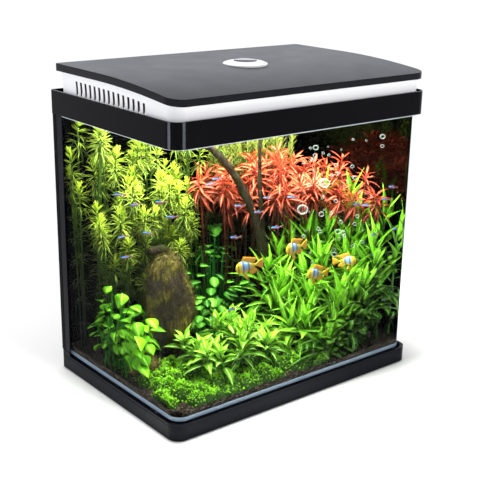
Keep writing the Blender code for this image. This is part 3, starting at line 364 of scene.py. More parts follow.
def add_blades(bundle, base, along, bend, length, width, turn, outline, fold=0.25, thick=0.00022,
               tint=0.5):
    """Thin closed leaves. A leaf's mid line is an arc that leaves its base in the direction along and
    turns towards bend by turn radians. At a share t of it the section is a flat diamond, as wide as the
    outline is there, whose edges are raised away from bend by fold times the half width. The three
    numbers of a point are its share, 1 at the edges and 0 on the rib, and the leaf's tint."""
    count, rings = len(base), len(outline)
    share = np.linspace(0, 1, rings + 2)[None, :]
    turn = np.where(np.abs(turn) < 1e-3, 1e-3, turn)[:, None]
    angle = turn * share
    sine, cosine = np.sin(angle)[..., None], np.cos(angle)[..., None]
    along, bend = along[:, None, :], bend[:, None, :]
    scale = (length[:, None] / turn)[..., None]
    middle = base[:, None, :] + scale * (sine * along + (1 - cosine) * bend)
    normal = cosine * bend - sine * along
    side = np.cross(along, bend) * np.ones_like(middle)
    half = (width[:, None] / 2 * np.asarray(outline))[..., None]
    ring_middle, ring_normal, ring_side = middle[:, 1:-1], normal[:, 1:-1], side[:, 1:-1]
    edge = ring_middle - ring_normal * half * fold
    rim = [edge + ring_side * half, ring_middle + ring_normal * thick,
           edge - ring_side * half, ring_middle - ring_normal * thick]
    rings_of = np.stack(rim, axis=2).reshape(count, rings * 4, 3)
    points = np.concatenate([middle[:, :1], rings_of, middle[:, -1:]], axis=1)
    values = np.zeros_like(points)
    values[:, 1:-1, 0] = np.repeat(share[:, 1:-1], 4, axis=1)
    values[:, -1, 0] = 1.0
    values[:, 1:-1, 1] = np.tile([1.0, 0.0, 1.0, 0.0], rings)
    values[:, :, 2] = np.broadcast_to(tint, (count,))[:, None]
    last = rings * 4 + 1
    wall = grid_faces(rings, 4, wrap=True) + 1
    shift = (np.arange(count) * points.shape[1])[:, None, None]
    bundle.add(points, wall + shift, end_caps(4, last)[:, [0, 2, 1]] + shift, values)


def add_tubes(bundle, path, radius, sides=5, tint=0.5, reference=(1.0, 0.0, 0.0)):
    """Closed round tubes. path is (tubes, points, 3) and radius (tubes, points); the section is a circle
    across the path's direction, and each end closes on the path's end point."""
    tubes, count, _ = path.shape
    forward = unit(np.gradient(path, axis=1))
    across = unit(np.cross(forward, np.array(reference)))
    other = np.cross(forward, across)
    angle = np.linspace(0, 2 * math.pi, sides, endpoint=False)[None, None, :, None]
    spread = np.cos(angle) * across[:, :, None, :] + np.sin(angle) * other[:, :, None, :]
    rings = path[:, :, None, :] + spread * np.broadcast_to(radius, (tubes, count))[:, :, None, None]
    points = np.concatenate([path[:, :1], rings.reshape(tubes, -1, 3), path[:, -1:]], axis=1)
    values = np.zeros_like(points)
    values[:, 1:-1, 0] = np.repeat(np.linspace(0, 1, count), sides)[None, :]
    values[:, -1, 0] = 1.0
    values[:, :, 1] = 1.0
    values[:, :, 2] = np.broadcast_to(tint, (tubes,))[:, None]
    shift = (np.arange(tubes) * points.shape[1])[:, None, None]
    caps = end_caps(sides, count * sides + 1)
    bundle.add(points, tube_wall(count, sides) + shift, caps + shift, values)


def add_ball(bundle, shape, rows, columns):
    """A closed surface over a sphere's grid: shape(direction) gives the point for each unit direction."""
    height = np.linspace(-math.pi / 2, math.pi / 2, rows + 2)[1:-1, None]
    angle = np.linspace(0, 2 * math.pi, columns, endpoint=False)[None, :]
    flat = np.stack([np.cos(height) * np.cos(angle), np.cos(height) * np.sin(angle),
                     np.sin(height) * np.ones_like(angle)], axis=-1).reshape(-1, 3)
    direction = np.concatenate([[[0, 0, -1.0]], flat, [[0, 0, 1.0]]])
    caps = end_caps(columns, rows * columns + 1)
    bundle.add(shape(direction), tube_wall(rows, columns), caps)


# ---------------------------------------------------------------- planting helpers
PLASTIC_STEPS = (0.7548776662, 0.5698402910)     # one over the plastic number, and over its square


def even_spread(count, low, high, rng, jitter=0.35):
    """Points spread evenly over a rectangle: each step of the plastic-number sequence, plus a little
    chance."""
    step = np.arange(count)[:, None] * np.array(PLASTIC_STEPS) + 0.5
    share = step % 1.0 + rng.uniform(-jitter, jitter, (count, 2)) / math.sqrt(count)
    return np.array(low[:2]) + np.clip(share, 0, 1) * (np.array(high[:2]) - np.array(low[:2]))


def on_stem(foot, tip, share):
    """Points of bowed stems: height grows evenly with the share, and the lean with its square."""
    move = tip - foot
    return foot + move * np.stack([share**1.6, share**1.6, share], axis=-1)


WHORL_TWIST = 0.21          # from leaf to leaf, so that whorls don't stand in line


def add_shoots(bundle, rng, feet, tips, leaves, span, lift, length, width, turn, outline, fold=0.25,
               stem=0.0008, whorl=1, tint=(0.2, 1.0), thick=0.00022, power=1.0, lean=0.10):
    """Stems with leaves round them. Leaves go down the top span of each stem at golden angles, or in
    whorls of that many, spaced by their number to this power. They rise at lift[0] degrees at the tip and
    lift[1] at the lowest, and length, width and turn run between their two values in the same way. The tint
    runs from its second value at the tip to its first. A crown leans off its stem by chance, as far as lean
    says, and the stems have the radius stem."""
    plants = len(feet)
    step = np.arange(leaves) // whorl / max(leaves // whorl - 1, 1)
    step = np.broadcast_to(step, (plants, leaves))
    share = 1 - span * step**power * rng.uniform(0.8, 1.15, (plants, 1))
    base = on_stem(feet[:, None, :], tips[:, None, :], share)
    turns = np.arange(leaves) * (GOLDEN_ANGLE if whorl == 1 else 2 * math.pi / whorl + WHORL_TWIST)
    angle = turns[None, :] + rng.uniform(0, ANY_TURN, (plants, 1)) + rng.normal(0, 0.18, (plants, leaves))
    axis = unit(unit(tips - feet) + rng.normal(0, lean, (plants, 3)) + 0.35 * UP)[:, None, :]
    first = unit(np.cross(axis, [0.31, 0.95, 0.0]))
    second = np.cross(axis, first)
    radial = np.cos(angle)[..., None] * first + np.sin(angle)[..., None] * second

    def between(pair, spread):
        ends = pair[0] + (pair[1] - pair[0]) * step
        return ends * (1 + rng.normal(0, spread, (plants, leaves)))

    rise = np.radians(between(lift, 0.0) + rng.normal(0, 7, (plants, leaves)))[..., None]
    along = np.cos(rise) * radial + np.sin(rise) * axis
    bend = np.sin(rise) * radial - np.cos(rise) * axis
    tone = tint[1] + (tint[0] - tint[1]) * step**0.7 + rng.normal(0, 0.12, (plants, leaves))
    add_blades(bundle, base.reshape(-1, 3), along.reshape(-1, 3), bend.reshape(-1, 3),
               between(length, 0.12).ravel(), between(width, 0.08).ravel(), between(turn, 0.2).ravel(),
               outline, fold, thick, np.clip(tone, 0, 1).ravel())
    path = on_stem(feet[:, None, :], tips[:, None, :], np.linspace(0, 1, 9)[None, :])
    add_tubes(bundle, path, stem, 5, tint=0.0)


# the outlines of leaves: the width, as a share of the widest, at even steps from the base to the tip
NEEDLE = (0.75, 1.0, 0.7)
LANCE = (0.42, 0.85, 1.0, 0.86, 0.52, 0.2)
OVAL = (0.55, 0.9, 1.0, 0.93, 0.66, 0.3)
ROUND = (0.72, 1.0, 0.98, 0.68)


# ---------------------------------------------------------------- finishes of what grows
def leaf_finish(name, deep, fresh, rib, roughness=0.36, rib_width=0.25, mottle=90.0, gloom=None):
    """Leaves: deep colour on old ones to fresh on young ones, mottled, with a pale middle rib. Between the
    two heights of gloom they go from nearly black, in the shade of the leaves above, to their own colour."""
    f = Finish(name)
    along, across, tint = f.parts("leaf")
    blotch = f.noise(mottle, 3.0)
    colour = f.mix((tint * 0.9 + blotch * 0.5 - 0.2).math("MINIMUM", 1.0, clamp=True), deep, fresh)
    shade = f.mix((1 - along).above(0.86, 0.3) * 0.45, colour, deep)
    lit = f.mix((1 - across / rib_width).math("MAXIMUM", 0.0, clamp=True) * 0.65, shade, rib)
    gloss = blotch * 0.25 + roughness - 0.1
    ribs = (along * 90).math("SINE") * 0.5 + across
    if gloom:
        height = f.part(f.place(), "Z") + (blotch - 0.5) * 0.03
        middle, spread = (gloom[0] + gloom[1]) / 2, gloom[1] - gloom[0]
        lit = f.mix(height.above(middle, spread), tuple(0.12 * part for part in deep), lit)
    return f.surface({"Base Color": lit, "Roughness": gloss, "Normal": f.bump(ribs, 0.0002, 0.4),
                      "Specular IOR Level": 0.45})


def moss_stone_finish():
    """Dark rough stone under patches of olive and yellow-brown moss, thicker on top."""
    f = Finish("moss_stone")
    facing_up = f.normal_part("Z")
    stone = f.mix(f.noise(60.0, 6.0), (0.010, 0.008, 0.006), (0.055, 0.043, 0.030))
    fibres = f.noise(320.0, 3.0, vector=f.stretched((1.0, 1.0, 0.25)))
    moss = f.mix(fibres.above(0.5, 0.3), (0.020, 0.020, 0.004), (0.120, 0.098, 0.022))
    cover = (f.noise(45.0, 5.0) + facing_up * 0.22).above(0.52, 0.12)
    height = fibres * 0.5 + f.noise(140.0, 6.0)
    return f.surface({"Base Color": f.mix(cover, stone, moss), "Roughness": 0.85,
                      "Normal": f.bump(height, 0.002, 1.0), "Specular IOR Level": 0.2})


def driftwood_finish():
    """Waterlogged wood: dark brown with fine upright grain and a film of green algae."""
    f = Finish("wet_driftwood")
    grain = f.noise(260.0, 5.0, vector=f.stretched((1.0, 1.0, 0.12)))
    wood = f.mix(grain.above(0.5, 0.35), (0.004, 0.003, 0.002), (0.024, 0.017, 0.009))
    algae = f.noise(70.0, 4.0).above(0.55, 0.15) * 0.7
    colour = f.mix(algae, wood, (0.013, 0.017, 0.004))
    return f.surface({"Base Color": colour, "Roughness": 0.6 + grain * 0.2,
                      "Normal": f.bump(grain, 0.0015, 1.0), "Specular IOR Level": 0.25})


def soil_finish():
    """Dark aquarium soil: nearly black-brown grains, some lighter."""
    f = Finish("aquarium_soil")
    grain = f.cells(420.0)
    colour = f.mix(f.noise(300.0, 2.0).above(0.58, 0.2), (0.010, 0.008, 0.006), (0.060, 0.045, 0.032))
    return f.surface({"Base Color": colour, "Roughness": 0.9, "Normal": f.bump(grain, 0.0015, 1.0),
                      "Specular IOR Level": 0.15})


# ---------------------------------------------------------------- planting
def rooted(places, sink=ROOT_DEPTH):
    """The feet of stems: these places, just below the top of the soil."""
    return np.column_stack([places, np.full(len(places), SOIL_TOP - sink)])


def standing(places, height):
    return np.column_stack([places, SOIL_TOP + height])


def plant_fine_stems():
    """Tall stems with whorls of needle leaves along the back left, lower towards the front: full crowns at
    the tips, and sparser dark leaves further down."""
    rng = np.random.default_rng(11)
    low, high = node_box("plant_stems_rear_left")
    near, far, spread = low[1] - 0.026, inside_high[1] - 0.012, 0.100
    places = even_spread(72, (inside_low[0] + 0.006, near), (high[0] + spread, far), rng)
    depth = (places[:, 1] - near) / (far - near)
    right = np.clip((places[:, 0] - high[0]) / spread, 0, 1)
    keep = depth > right * 0.62 + 0.04
    places, depth, right = places[keep], depth[keep], right[keep]
    height = (high[2] - low[2]) * (0.48 + 0.52 * depth + 0.10 * right + rng.normal(0, 0.12, len(places)))
    height = np.minimum(height, WATER_TOP - SOIL_TOP - rng.uniform(0.002, 0.020, len(places)))
    tips = standing(places + rng.normal(0, 0.010, places.shape), height)
    tips[:, :2] = np.clip(tips[:, :2], inside_low[:2] + 0.006, inside_high[:2] - 0.006)
    bundle = Bundle()
    feet = rooted(places)
    add_shoots(bundle, rng, feet, tips, leaves=60, span=0.115, lift=(74, -18), length=(0.011, 0.022),
               width=(0.0014, 0.0019), turn=(0.10, 0.9), outline=NEEDLE, whorl=10, tint=(0.1, 1.2),
               stem=0.0009, power=1.1, lean=0.34)
    add_shoots(bundle, rng, feet, tips - [0, 0, 0.034], leaves=42, span=0.70, lift=(40, -5),
               length=(0.015, 0.018), width=(0.0013, 0.0016), turn=(0.2, 1.1), outline=NEEDLE, whorl=7,
               tint=(-0.8, 0.05), stem=0.0007, lean=0.25)
    finish = leaf_finish("fine_leaf", (0.005, 0.026, 0.002), (0.36, 0.52, 0.020), (0.50, 0.66, 0.10),
                         roughness=0.45, gloom=(0.09, 0.23))
    return bundle.planting("fine_stem_plants", finish, "plant_stems_rear_left")


def plant_rear_grass():
    """A thicket of thin yellow-green stems behind the right side, reaching the water's surface."""
    rng = np.random.default_rng(12)
    low, high = node_box("plant_grass_rear")
    places = even_spread(38, (low[0] - 0.075, low[1]), (high[0] - 0.010, inside_high[1] - 0.010), rng)
    height = (high[2] - low[2]) * rng.uniform(0.98, 1.16, len(places))
    height = np.minimum(height, WATER_TOP - SOIL_TOP - 0.004)
    bundle = Bundle()
    tips = standing(places + rng.normal(0, 0.008, places.shape), height)
    add_shoots(bundle, rng, rooted(places), tips, leaves=120, span=0.55, lift=(72, 30),
               length=(0.012, 0.020), width=(0.0010, 0.0014), turn=(0.2, 0.7), outline=NEEDLE, whorl=6,
               tint=(0.1, 0.9), stem=0.0008)
    finish = leaf_finish("rear_grass_leaf", (0.035, 0.070, 0.006), (0.30, 0.38, 0.04), (0.5, 0.55, 0.15),
                         roughness=0.5, gloom=(0.20, 0.30))
    return bundle.planting("rear_grass_plants", finish, "plant_grass_rear")


def plant_red_stems():
    """A canopy of red crowns with narrow arching leaves over bare brown stems."""
    rng = np.random.default_rng(13)
    low, high = node_box("plant_red_right")
    left, near, far = low[0] - 0.100, low[1] - 0.085, high[1] + 0.014
    places = even_spread(84, (left, near), (inside_high[0] - 0.010, far), rng)
    right = (places[:, 0] - left) / (inside_high[0] - left)
    depth = (places[:, 1] - near) / (far - near)
    keep = (depth > 0.80 - right * 0.86) & (depth < 1.25 - right * 0.25)
    places, right, depth = places[keep], right[keep], depth[keep]
    height = (high[2] - low[2]) * (0.78 + 0.16 * depth + 0.04 * right + rng.normal(0, 0.040, len(places)))
    bundle = Bundle()
    tips = standing(places + rng.normal(0, 0.010, places.shape), height)
    tips[:, :2] = np.clip(tips[:, :2], inside_low[:2] + 0.008, inside_high[:2] - 0.008)
    add_shoots(bundle, rng, rooted(places), tips, leaves=24, span=0.11, lift=(52, -20),
               length=(0.020, 0.036), width=(0.0036, 0.0054), turn=(0.5, 1.5), outline=LANCE, fold=0.4,
               tint=(0.0, 1.0), stem=0.0011, lean=0.42)
    finish = leaf_finish("red_leaf", (0.11, 0.010, 0.004), (0.60, 0.055, 0.012), (0.90, 0.34, 0.20),
                         roughness=0.30, rib_width=0.26, gloom=(0.175, 0.250))
    return bundle.planting("red_crown_plants", finish, "plant_red_right", "plant_red")


def plant_long_leaves():
    """Crowns of long pointed leaves at the right front, bright green with pale ribs, taller to the right."""
    rng = np.random.default_rng(14)
    low, high = node_box("plant_long_leaf_right")
    corner = (inside_high[0] - 0.014, high[1] + 0.030)
    places = even_spread(50, (low[0] - 0.014, low[1] - 0.004), corner, rng)
    right = np.clip((places[:, 0] - low[0]) / (high[0] - low[0]), 0, 1.1)
    depth = np.clip((places[:, 1] - low[1]) / (high[1] - low[1]), 0, 1.4)
    chance = rng.normal(0, 0.08, len(places))
    height = (high[2] - low[2]) * (0.12 + 0.74 * right**1.1 + 0.26 * depth + chance)
    height = np.clip(height, 0.014, 1.08 * (high[2] - low[2]))
    bundle = Bundle()
    tips = standing(places + rng.normal(0, 0.006, places.shape), height)
    tips[:, :2] = np.clip(tips[:, :2], inside_low[:2] + 0.012, inside_high[:2] - 0.010)
    add_shoots(bundle, rng, rooted(places), tips, leaves=19, span=0.66, lift=(78, 4),
               length=(0.044, 0.078), width=(0.0088, 0.0130), turn=(0.25, 1.0), outline=LANCE, fold=0.40,
               tint=(-0.10, 1.0), stem=0.0014, thick=0.0003, lean=0.25)
    finish = leaf_finish("long_leaf", (0.012, 0.080, 0.003), (0.19, 0.54, 0.016), (0.60, 0.90, 0.20),
                         roughness=0.26, rib_width=0.16, gloom=(0.015, 0.065))
    return bundle.planting("long_leaf_plants", finish, "plant_long_leaf_right")


def plant_centre_bush():
    """Low crowns of short pointed leaves in front of the stones."""
    rng = np.random.default_rng(15)
    low, high = node_box("plant_bush_centre")
    places = even_spread(30, (low[0] - 0.012, low[1] - 0.010), (high[0] + 0.062, high[1] + 0.008), rng)
    middle = 1 - np.abs((places[:, 0] - (low[0] + high[0]) / 2) / (high[0] - low[0]))
    height = (high[2] - low[2]) * (0.20 + 0.80 * np.clip(middle, 0, 1) + rng.normal(0, 0.10, len(places)))
    bundle = Bundle()
    tips = standing(places + rng.normal(0, 0.004, places.shape), np.maximum(height, 0.012))
    add_shoots(bundle, rng, rooted(places), tips, leaves=13, span=0.50, lift=(70, 8),
               length=(0.020, 0.034), width=(0.0080, 0.0112), turn=(0.3, 1.1), outline=LANCE, fold=0.40,
               tint=(0.05, 1.0), stem=0.0012, thick=0.0003, lean=0.25)
    finish = leaf_finish("bush_leaf", (0.016, 0.095, 0.004), (0.26, 0.62, 0.022), (0.72, 0.94, 0.36),
                         roughness=0.26, rib_width=0.20)
    return bundle.planting("bush_plants", finish, "plant_bush_centre")


def add_stalked_leaves(bundle, rng, feet, heads, length, width, outline, lift, tint=(0.3, 1.0),
                       stalk=0.0007):
    """One broad leaf on each bowed stalk, facing away from the middle of the plant and rising at about lift
    degrees. Its length, width and tint are left to chance between their two values."""
    count = len(heads)
    away = heads - feet.mean(axis=0)
    away[:, 2] = 0
    away = unit(away + rng.normal(0, 0.008, away.shape) * np.array([1, 1, 0]))
    rise = np.radians(rng.normal(lift, 18, count))[:, None]
    along = np.cos(rise) * away + np.sin(rise) * UP
    bend = np.sin(rise) * away - np.cos(rise) * UP
    add_blades(bundle, heads, along, bend, rng.uniform(*length, count), rng.uniform(*width, count),
               rng.uniform(0.1, 0.7, count), outline, fold=0.22, thick=0.0003,
               tint=np.clip(rng.uniform(*tint, count), 0, 1))
    path = on_stem(feet[:, None, :], heads[:, None, :], np.linspace(0, 1, 8)[None, :])
    add_tubes(bundle, path, stalk, 5, tint=-0.4)


def plant_broad_leaves():
    """A plant of bright oval leaves on thin stalks by the left pane."""
    rng = np.random.default_rng(16)
    low, high = node_box("plant_broad_left")
    middle = (low + high) / 2 - [0.014, 0.014, 0]
    count = 84
    feet = rooted(middle[:2] + rng.normal(0, 0.013, (count, 2)))
    angle = np.arange(count) * GOLDEN_ANGLE
    reach = np.sqrt((np.arange(count) + 0.5) / count)
    spread = np.column_stack([np.cos(angle), np.sin(angle)]) * reach[:, None] * np.array([0.034, 0.050])
    height = (high[2] - low[2]) * (1.10 - 0.55 * reach) * rng.uniform(0.28, 1.05, count)
    heads = standing(middle[:2] + spread, np.maximum(height, 0.012))
    heads[:, 0] = np.maximum(heads[:, 0], inside_low[0] + rng.uniform(0.003, 0.012, count))
    bundle = Bundle()
    add_stalked_leaves(bundle, rng, feet, heads, length=(0.017, 0.025), width=(0.015, 0.020), outline=OVAL,
                       lift=-18)
    finish = leaf_finish("broad_leaf", (0.016, 0.120, 0.003), (0.18, 0.58, 0.010), (0.45, 0.85, 0.12),
                         roughness=0.26, rib_width=0.16)
    return bundle.planting("broad_leaf_plant", finish, "plant_broad_left")


def plant_round_leaves():
    """Dark round leaves between the large stone and the filter, some catching the light."""
    rng = np.random.default_rng(17)
    low, high = node_box("plant_round_rear")
    count = 170
    places = even_spread(count, (low[0] - 0.022, low[1] - 0.070), (high[0] + 0.030, high[1] - 0.006), rng)
    depth = (places[:, 1] - low[1] + 0.070) / (high[1] - low[1] + 0.064)
    heads = standing(places, (high[2] - low[2]) * (0.20 + 1.85 * depth * rng.uniform(0.25, 1.0, count)))
    feet = rooted(places * 0.6 + places.mean(axis=0) * 0.4)
    bundle = Bundle()
    add_stalked_leaves(bundle, rng, feet, heads, length=(0.014, 0.021), width=(0.012, 0.018), outline=ROUND,
                       lift=-12, tint=(-0.1, 1.1), stalk=0.0006)
    finish = leaf_finish("round_leaf", (0.006, 0.055, 0.006), (0.14, 0.52, 0.030), (0.20, 0.50, 0.12),
                         roughness=0.30, rib_width=0.14)
    return bundle.planting("round_leaf_plants", finish, "plant_round_rear")


def plant_carpet():
    """Cushions of tiny leaves along the front: domes, each with leaves at golden angles over its surface and a
    dark core inside as painted shade."""
    rng = np.random.default_rng(18)
    low, high = node_box("plant_carpet_front")
    reach_low = (inside_low[0] + 0.006, inside_low[1] + 0.007)
    domes = even_spread(84, reach_low, (high[0] + 0.060, high[1] + 0.075), rng, 0.6)
    left = np.clip((high[0] + 0.020 - domes[:, 0]) / (high[0] - low[0]), 0, 1)
    domes = domes[domes[:, 1] < high[1] + 0.004 + 0.075 * left**0.8]
    radius = rng.uniform(0.012, 0.020, len(domes))
    rise = (high[2] - low[2]) * rng.uniform(0.55, 1.30, len(domes))
    leaves = 140
    step = (np.arange(leaves) + 0.5) / leaves
    up_share = np.sqrt(1 - (1 - step) ** 2)
    angle = np.arange(leaves)[None, :] * GOLDEN_ANGLE + rng.uniform(0, ANY_TURN, (len(domes), 1))
    flat = np.sqrt(1 - up_share**2)[None, :]
    direction = np.stack([flat * np.cos(angle), flat * np.sin(angle), np.broadcast_to(up_share, angle.shape)],
                         axis=-1)
    centre = rooted(domes, 0.004)[:, None, :]
    lump = 1 + 0.16 * value_noise(direction * radius[:, None, None] + centre, 0.006, 5)[..., None]
    scale = np.stack([radius, radius, rise], axis=-1)[:, None, :]
    base = centre + direction * scale * lump
    base = np.clip(base, inside_low + [0.0015, 0.0015, -0.004], inside_high)
    normal = unit(direction / scale)
    along = unit(normal * 0.55 + rng.normal(0, 0.55, normal.shape))
    bend = unit(np.cross(along, np.cross(normal, along)))
    count = base.shape[0] * base.shape[1]
    bundle = Bundle()
    # leaves facing up get the fresh colour, those on the sides the deep one: painted light from above
    tone = np.clip(0.25 + 0.6 * direction[..., 2] + rng.normal(0, 0.2, direction.shape[:2]), 0, 1)
    add_blades(bundle, base.reshape(-1, 3), along.reshape(-1, 3), bend.reshape(-1, 3),
               rng.uniform(0.0028, 0.0046, count), rng.uniform(0.0022, 0.0034, count),
               rng.uniform(-0.4, 0.4, count), outline=(0.85, 0.9), fold=0.1, thick=0.00015, tint=tone.ravel())
    finish = leaf_finish("carpet_leaf", (0.012, 0.085, 0.003), (0.26, 0.66, 0.015), (0.40, 0.75, 0.10),
                         roughness=0.45, rib_width=0.1)
    bundle.planting("carpet_plants", finish, "plant_carpet_front")
    mats = Bundle()
    for place, wide, tall in zip(domes, radius, rise):
        size = np.array([wide, wide, tall]) * 0.94
        add_ball(mats, lambda d, place=place, size=size: carpet_core(d, place, size), 8, 14)
    # the cores: nearly black, painted shade in the depth of each cushion
    core = leaf_finish("carpet_core_shade", (0.006, 0.020, 0.002), (0.020, 0.060, 0.006), (0.02, 0.06, 0.006),
                       roughness=0.8)
    return mats.piece("carpet_cores", core, "tank", "plant_green")


def carpet_core(direction, place, size):
    """The dark dome under a cushion, painted shade inside it: the upper half of an egg shape, flattened below
    the soil.
    """
    points = direction * size + np.array([*place, SOIL_TOP - 0.003])
    points[:, 2] = np.maximum(points[:, 2], SOIL_TOP - 0.004)
    return np.clip(points, inside_low + [0.0012, 0.0012, -0.004], inside_high)


# ---------------------------------------------------------------- ground, stones and wood
def lay_soil():
    """Soil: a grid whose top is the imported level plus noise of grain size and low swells, closed below by a
    flat copy of the grid."""
    low, high = node_box("substrate")
    rows, columns = 150, 220
    x = np.linspace(low[0], high[0], columns)[None, :]
    y = np.linspace(low[1], high[1], rows)[:, None]
    top = np.stack(np.broadcast_arrays(x, y, high[2]), axis=-1).reshape(-1, 3)
    pull_into_bends(top, high[0], low[1], CORNER_RADIUS)
    top[:, 2] += 0.0009 * value_noise(top, 0.0022, 1) + 0.0010 * value_noise(top, 0.03, 2)
    under = top.copy()
    under[:, 2] = low[2]
    sheet = grid_faces(rows, columns)
    edge, beyond = sheet_border(rows, columns)
    wall = np.stack([edge, edge + len(top), beyond + len(top), beyond], axis=1)
    faces = np.concatenate([sheet[:, ::-1], sheet + len(top), wall])
    bundle = Bundle().add(np.concatenate([top, under]), faces)
    return bundle.piece("soil_bed", soil_finish(), "tank", "substrate", ["substrate"])


def set_stone(name, node, seed, finish):
    """A mossy boulder in the box of its node: an egg shape pushed in and out by layered noise, with fibres
    of moss."""
    low, high = node_box(node)
    middle, half = (low + high) / 2, (high - low) / 2
    rng = np.random.default_rng(seed)

    def boulder(direction):
        lumps = rough_noise(direction * 0.05, 0.045, seed)
        grit = rough_noise(direction * 0.05, 0.008, seed + 9)
        swell = 1 + 0.22 * lumps + 0.05 * grit
        points = middle + direction * half * swell[:, None]
        points[:, 2] = np.maximum(points[:, 2], SOIL_TOP - ROOT_DEPTH)
        return points

    bundle = Bundle()
    add_ball(bundle, boulder, 90, 120)
    tufts = int(2600 * half[2] / 0.06)
    direction = unit(rng.normal(0, 1, (tufts, 3)) * [1, 1, 0.8] + [0, 0, 0.55])
    base = boulder(direction)
    along = unit(direction / half * half.mean() + rng.normal(0, 0.5, direction.shape))
    bend = unit(np.cross(along, np.cross(along, UP) + 1e-4))
    add_blades(bundle, base, along, -bend, rng.uniform(0.003, 0.008, tufts), np.full(tufts, 0.0007),
               rng.uniform(0.5, 1.8, tufts), outline=(1.0, 0.8), fold=0.0, thick=0.0002,
               tint=rng.uniform(0, 1, tufts))
    return bundle.piece(name, finish, "tank", "stone", [node])


def lay_driftwood():
    """The leaning limb, a thinner one that grows up from it and a stub behind the large stone: round tubes
    on smooth paths, knotted by noise along them. Each limb is a path, its two radii and its tint."""
    low, high = node_box("driftwood")
    knots = np.array([(0.90, 0.12, 0.00), (0.86, 0.12, 0.18), (0.80, 0.18, 0.36), (0.66, 0.35, 0.60),
                      (0.42, 0.60, 0.82), (0.16, 0.88, 0.96), (0.00, 1.00, 1.00)])
    bundle = Bundle()
    main = low + (high - low) * knots
    upright = main[2] + np.array([(0, 0, 0), (-0.006, 0.004, 0.06), (-0.010, 0.006, 0.12),
                                  (-0.008, 0.010, 0.20)])
    stone_low, stone_high = node_box("rock_large")
    crest = np.array([(stone_low[0] + stone_high[0]) / 2, stone_high[1], stone_high[2]])
    stub = crest + np.array([(0.045, 0.018, -0.085), (0.020, 0.010, -0.018), (0.002, -0.008, 0.008),
                             (-0.026, -0.014, 0.014)])
    limbs = ((main, 0.0080, 0.0042, 0.0), (upright, 0.0040, 0.0022, 0.2), (stub, 0.0105, 0.0050, 0.7))
    for path, thick, thin, tone in limbs:
        smooth = soft_path(path, 90)
        share = np.linspace(0, 1, 90)
        radius = thick + (thin - thick) * share
        ring = radius * (1 + 0.22 * value_noise(smooth, 0.012, 4) + 0.10 * value_noise(smooth, 0.004, 6))
        add_tubes(bundle, smooth[None], ring[None], 22, tint=tone, reference=(0.0, 1.0, 0.1))
    for block in bundle.points:
        block += 0.0011 * rough_noise(block, 0.009, 21)[:, None] * np.array([1.0, 1.0, 0.0])
        block[:, 2] = np.maximum(block[:, 2], SOIL_TOP - ROOT_DEPTH)
    return bundle.piece("driftwood_limbs", driftwood_finish(), "tank", "driftwood", ["driftwood"])


def soft_path(knots, count):
    """A smooth path through knots: cubic pieces whose direction at a knot is that of its neighbours."""
    padded = np.vstack([2 * knots[0] - knots[1], knots, 2 * knots[-1] - knots[-2]])
    where = np.linspace(0, len(knots) - 1, count)
    start = np.minimum(where.astype(int), len(knots) - 2)
    t = (where - start)[:, None]
    a, b, c, d = (padded[start + i] for i in range(4))
    return 0.5 * (2 * b + (c - a) * t + (2 * a - 5 * b + 4 * c - d) * t**2 + (3 * b - a - 3 * c + d) * t**3)


# ---------------------------------------------------------------- fish and bubbles
def add_fish(bundle, at, heading, length, height, fins):
    """A fish: its body is a closed loft of ovals along x whose half height follows a smooth bulge, and each
    fin is a thin closed plate between its root and its tip. The three numbers of a point are the share from
    nose to tail, height over the half height, and 1 on fins. heading is its turn round z, then round y."""
    stations, sides, body_length = 15, 10, length * 0.78
    share = np.linspace(0, 1, stations)
    bulge = np.sin(math.pi * share**0.62) ** 0.8 * (1 - 0.72 * share**3) + 0.10 * share
    half = np.maximum(bulge, 0.02) * height / 2
    angle = np.linspace(0, 2 * math.pi, sides, endpoint=False)
    ring = np.stack([np.broadcast_to(share[:, None] * body_length, (stations, sides)),
                     0.42 * half[:, None] * np.cos(angle), half[:, None] * np.sin(angle)], axis=-1)
    points = np.concatenate([[[0, 0, 0]], ring.reshape(-1, 3), [[body_length, 0, 0]]])
    values = np.zeros_like(points)
    values[:, 0] = points[:, 0] / body_length
    values[1:-1, 1] = np.tile(np.sin(angle), stations)
    turn = np.array(Matrix.Rotation(heading[0], 3, "Z") @ Matrix.Rotation(heading[1], 3, "Y"))
    middle = np.array([length / 2, 0, 0])

    def place(part):
        return (part - middle) @ turn.T + at

    caps = end_caps(sides, stations * sides + 1)
    bundle.add(place(points), tube_wall(stations, sides), caps, values)
    for root_from, root_to, tip_from, tip_to in fins:
        u = np.linspace(0, 1, 5)[:, None]
        v = np.linspace(0, 1, 4)[None, :]
        root = (1 - u) * np.array(root_from) + u * np.array(root_to)
        tip = (1 - u) * np.array(tip_from) + u * np.array(tip_to)
        plate = root[:, None, :] * (1 - v[..., None]) + tip[:, None, :] * v[..., None]
        plate[..., 1] += 0.05 * np.sin(math.pi * u) * np.sin(math.pi * v)
        x, z = plate[..., 0] * length, plate[..., 1] * height
        thick = 0.00012 + 0.0003 * (1 - v) * np.ones_like(x)
        front = np.stack([x, thick, z], axis=-1).reshape(-1, 3)
        back = np.stack([x, -thick, z], axis=-1).reshape(-1, 3)
        fin_values = np.stack([np.broadcast_to(plate[..., 0], x.shape), np.broadcast_to(v, x.shape),
                               np.ones_like(x)], axis=-1).reshape(-1, 3)
        add_plate(bundle, place(front), place(back), x.shape, np.tile(fin_values, (2, 1)))


def add_plate(bundle, front, back, shape, values):
    """A thin closed plate from its two faces, given as grids of the same shape."""
    sheet = grid_faces(*shape)
    edge, beyond = sheet_border(*shape)
    wall = np.stack([edge, beyond, beyond + len(front), edge + len(front)], axis=1)
    faces = np.concatenate([sheet, sheet[:, ::-1] + len(front), wall])
    bundle.add(np.concatenate([front, back]), faces, values=values)


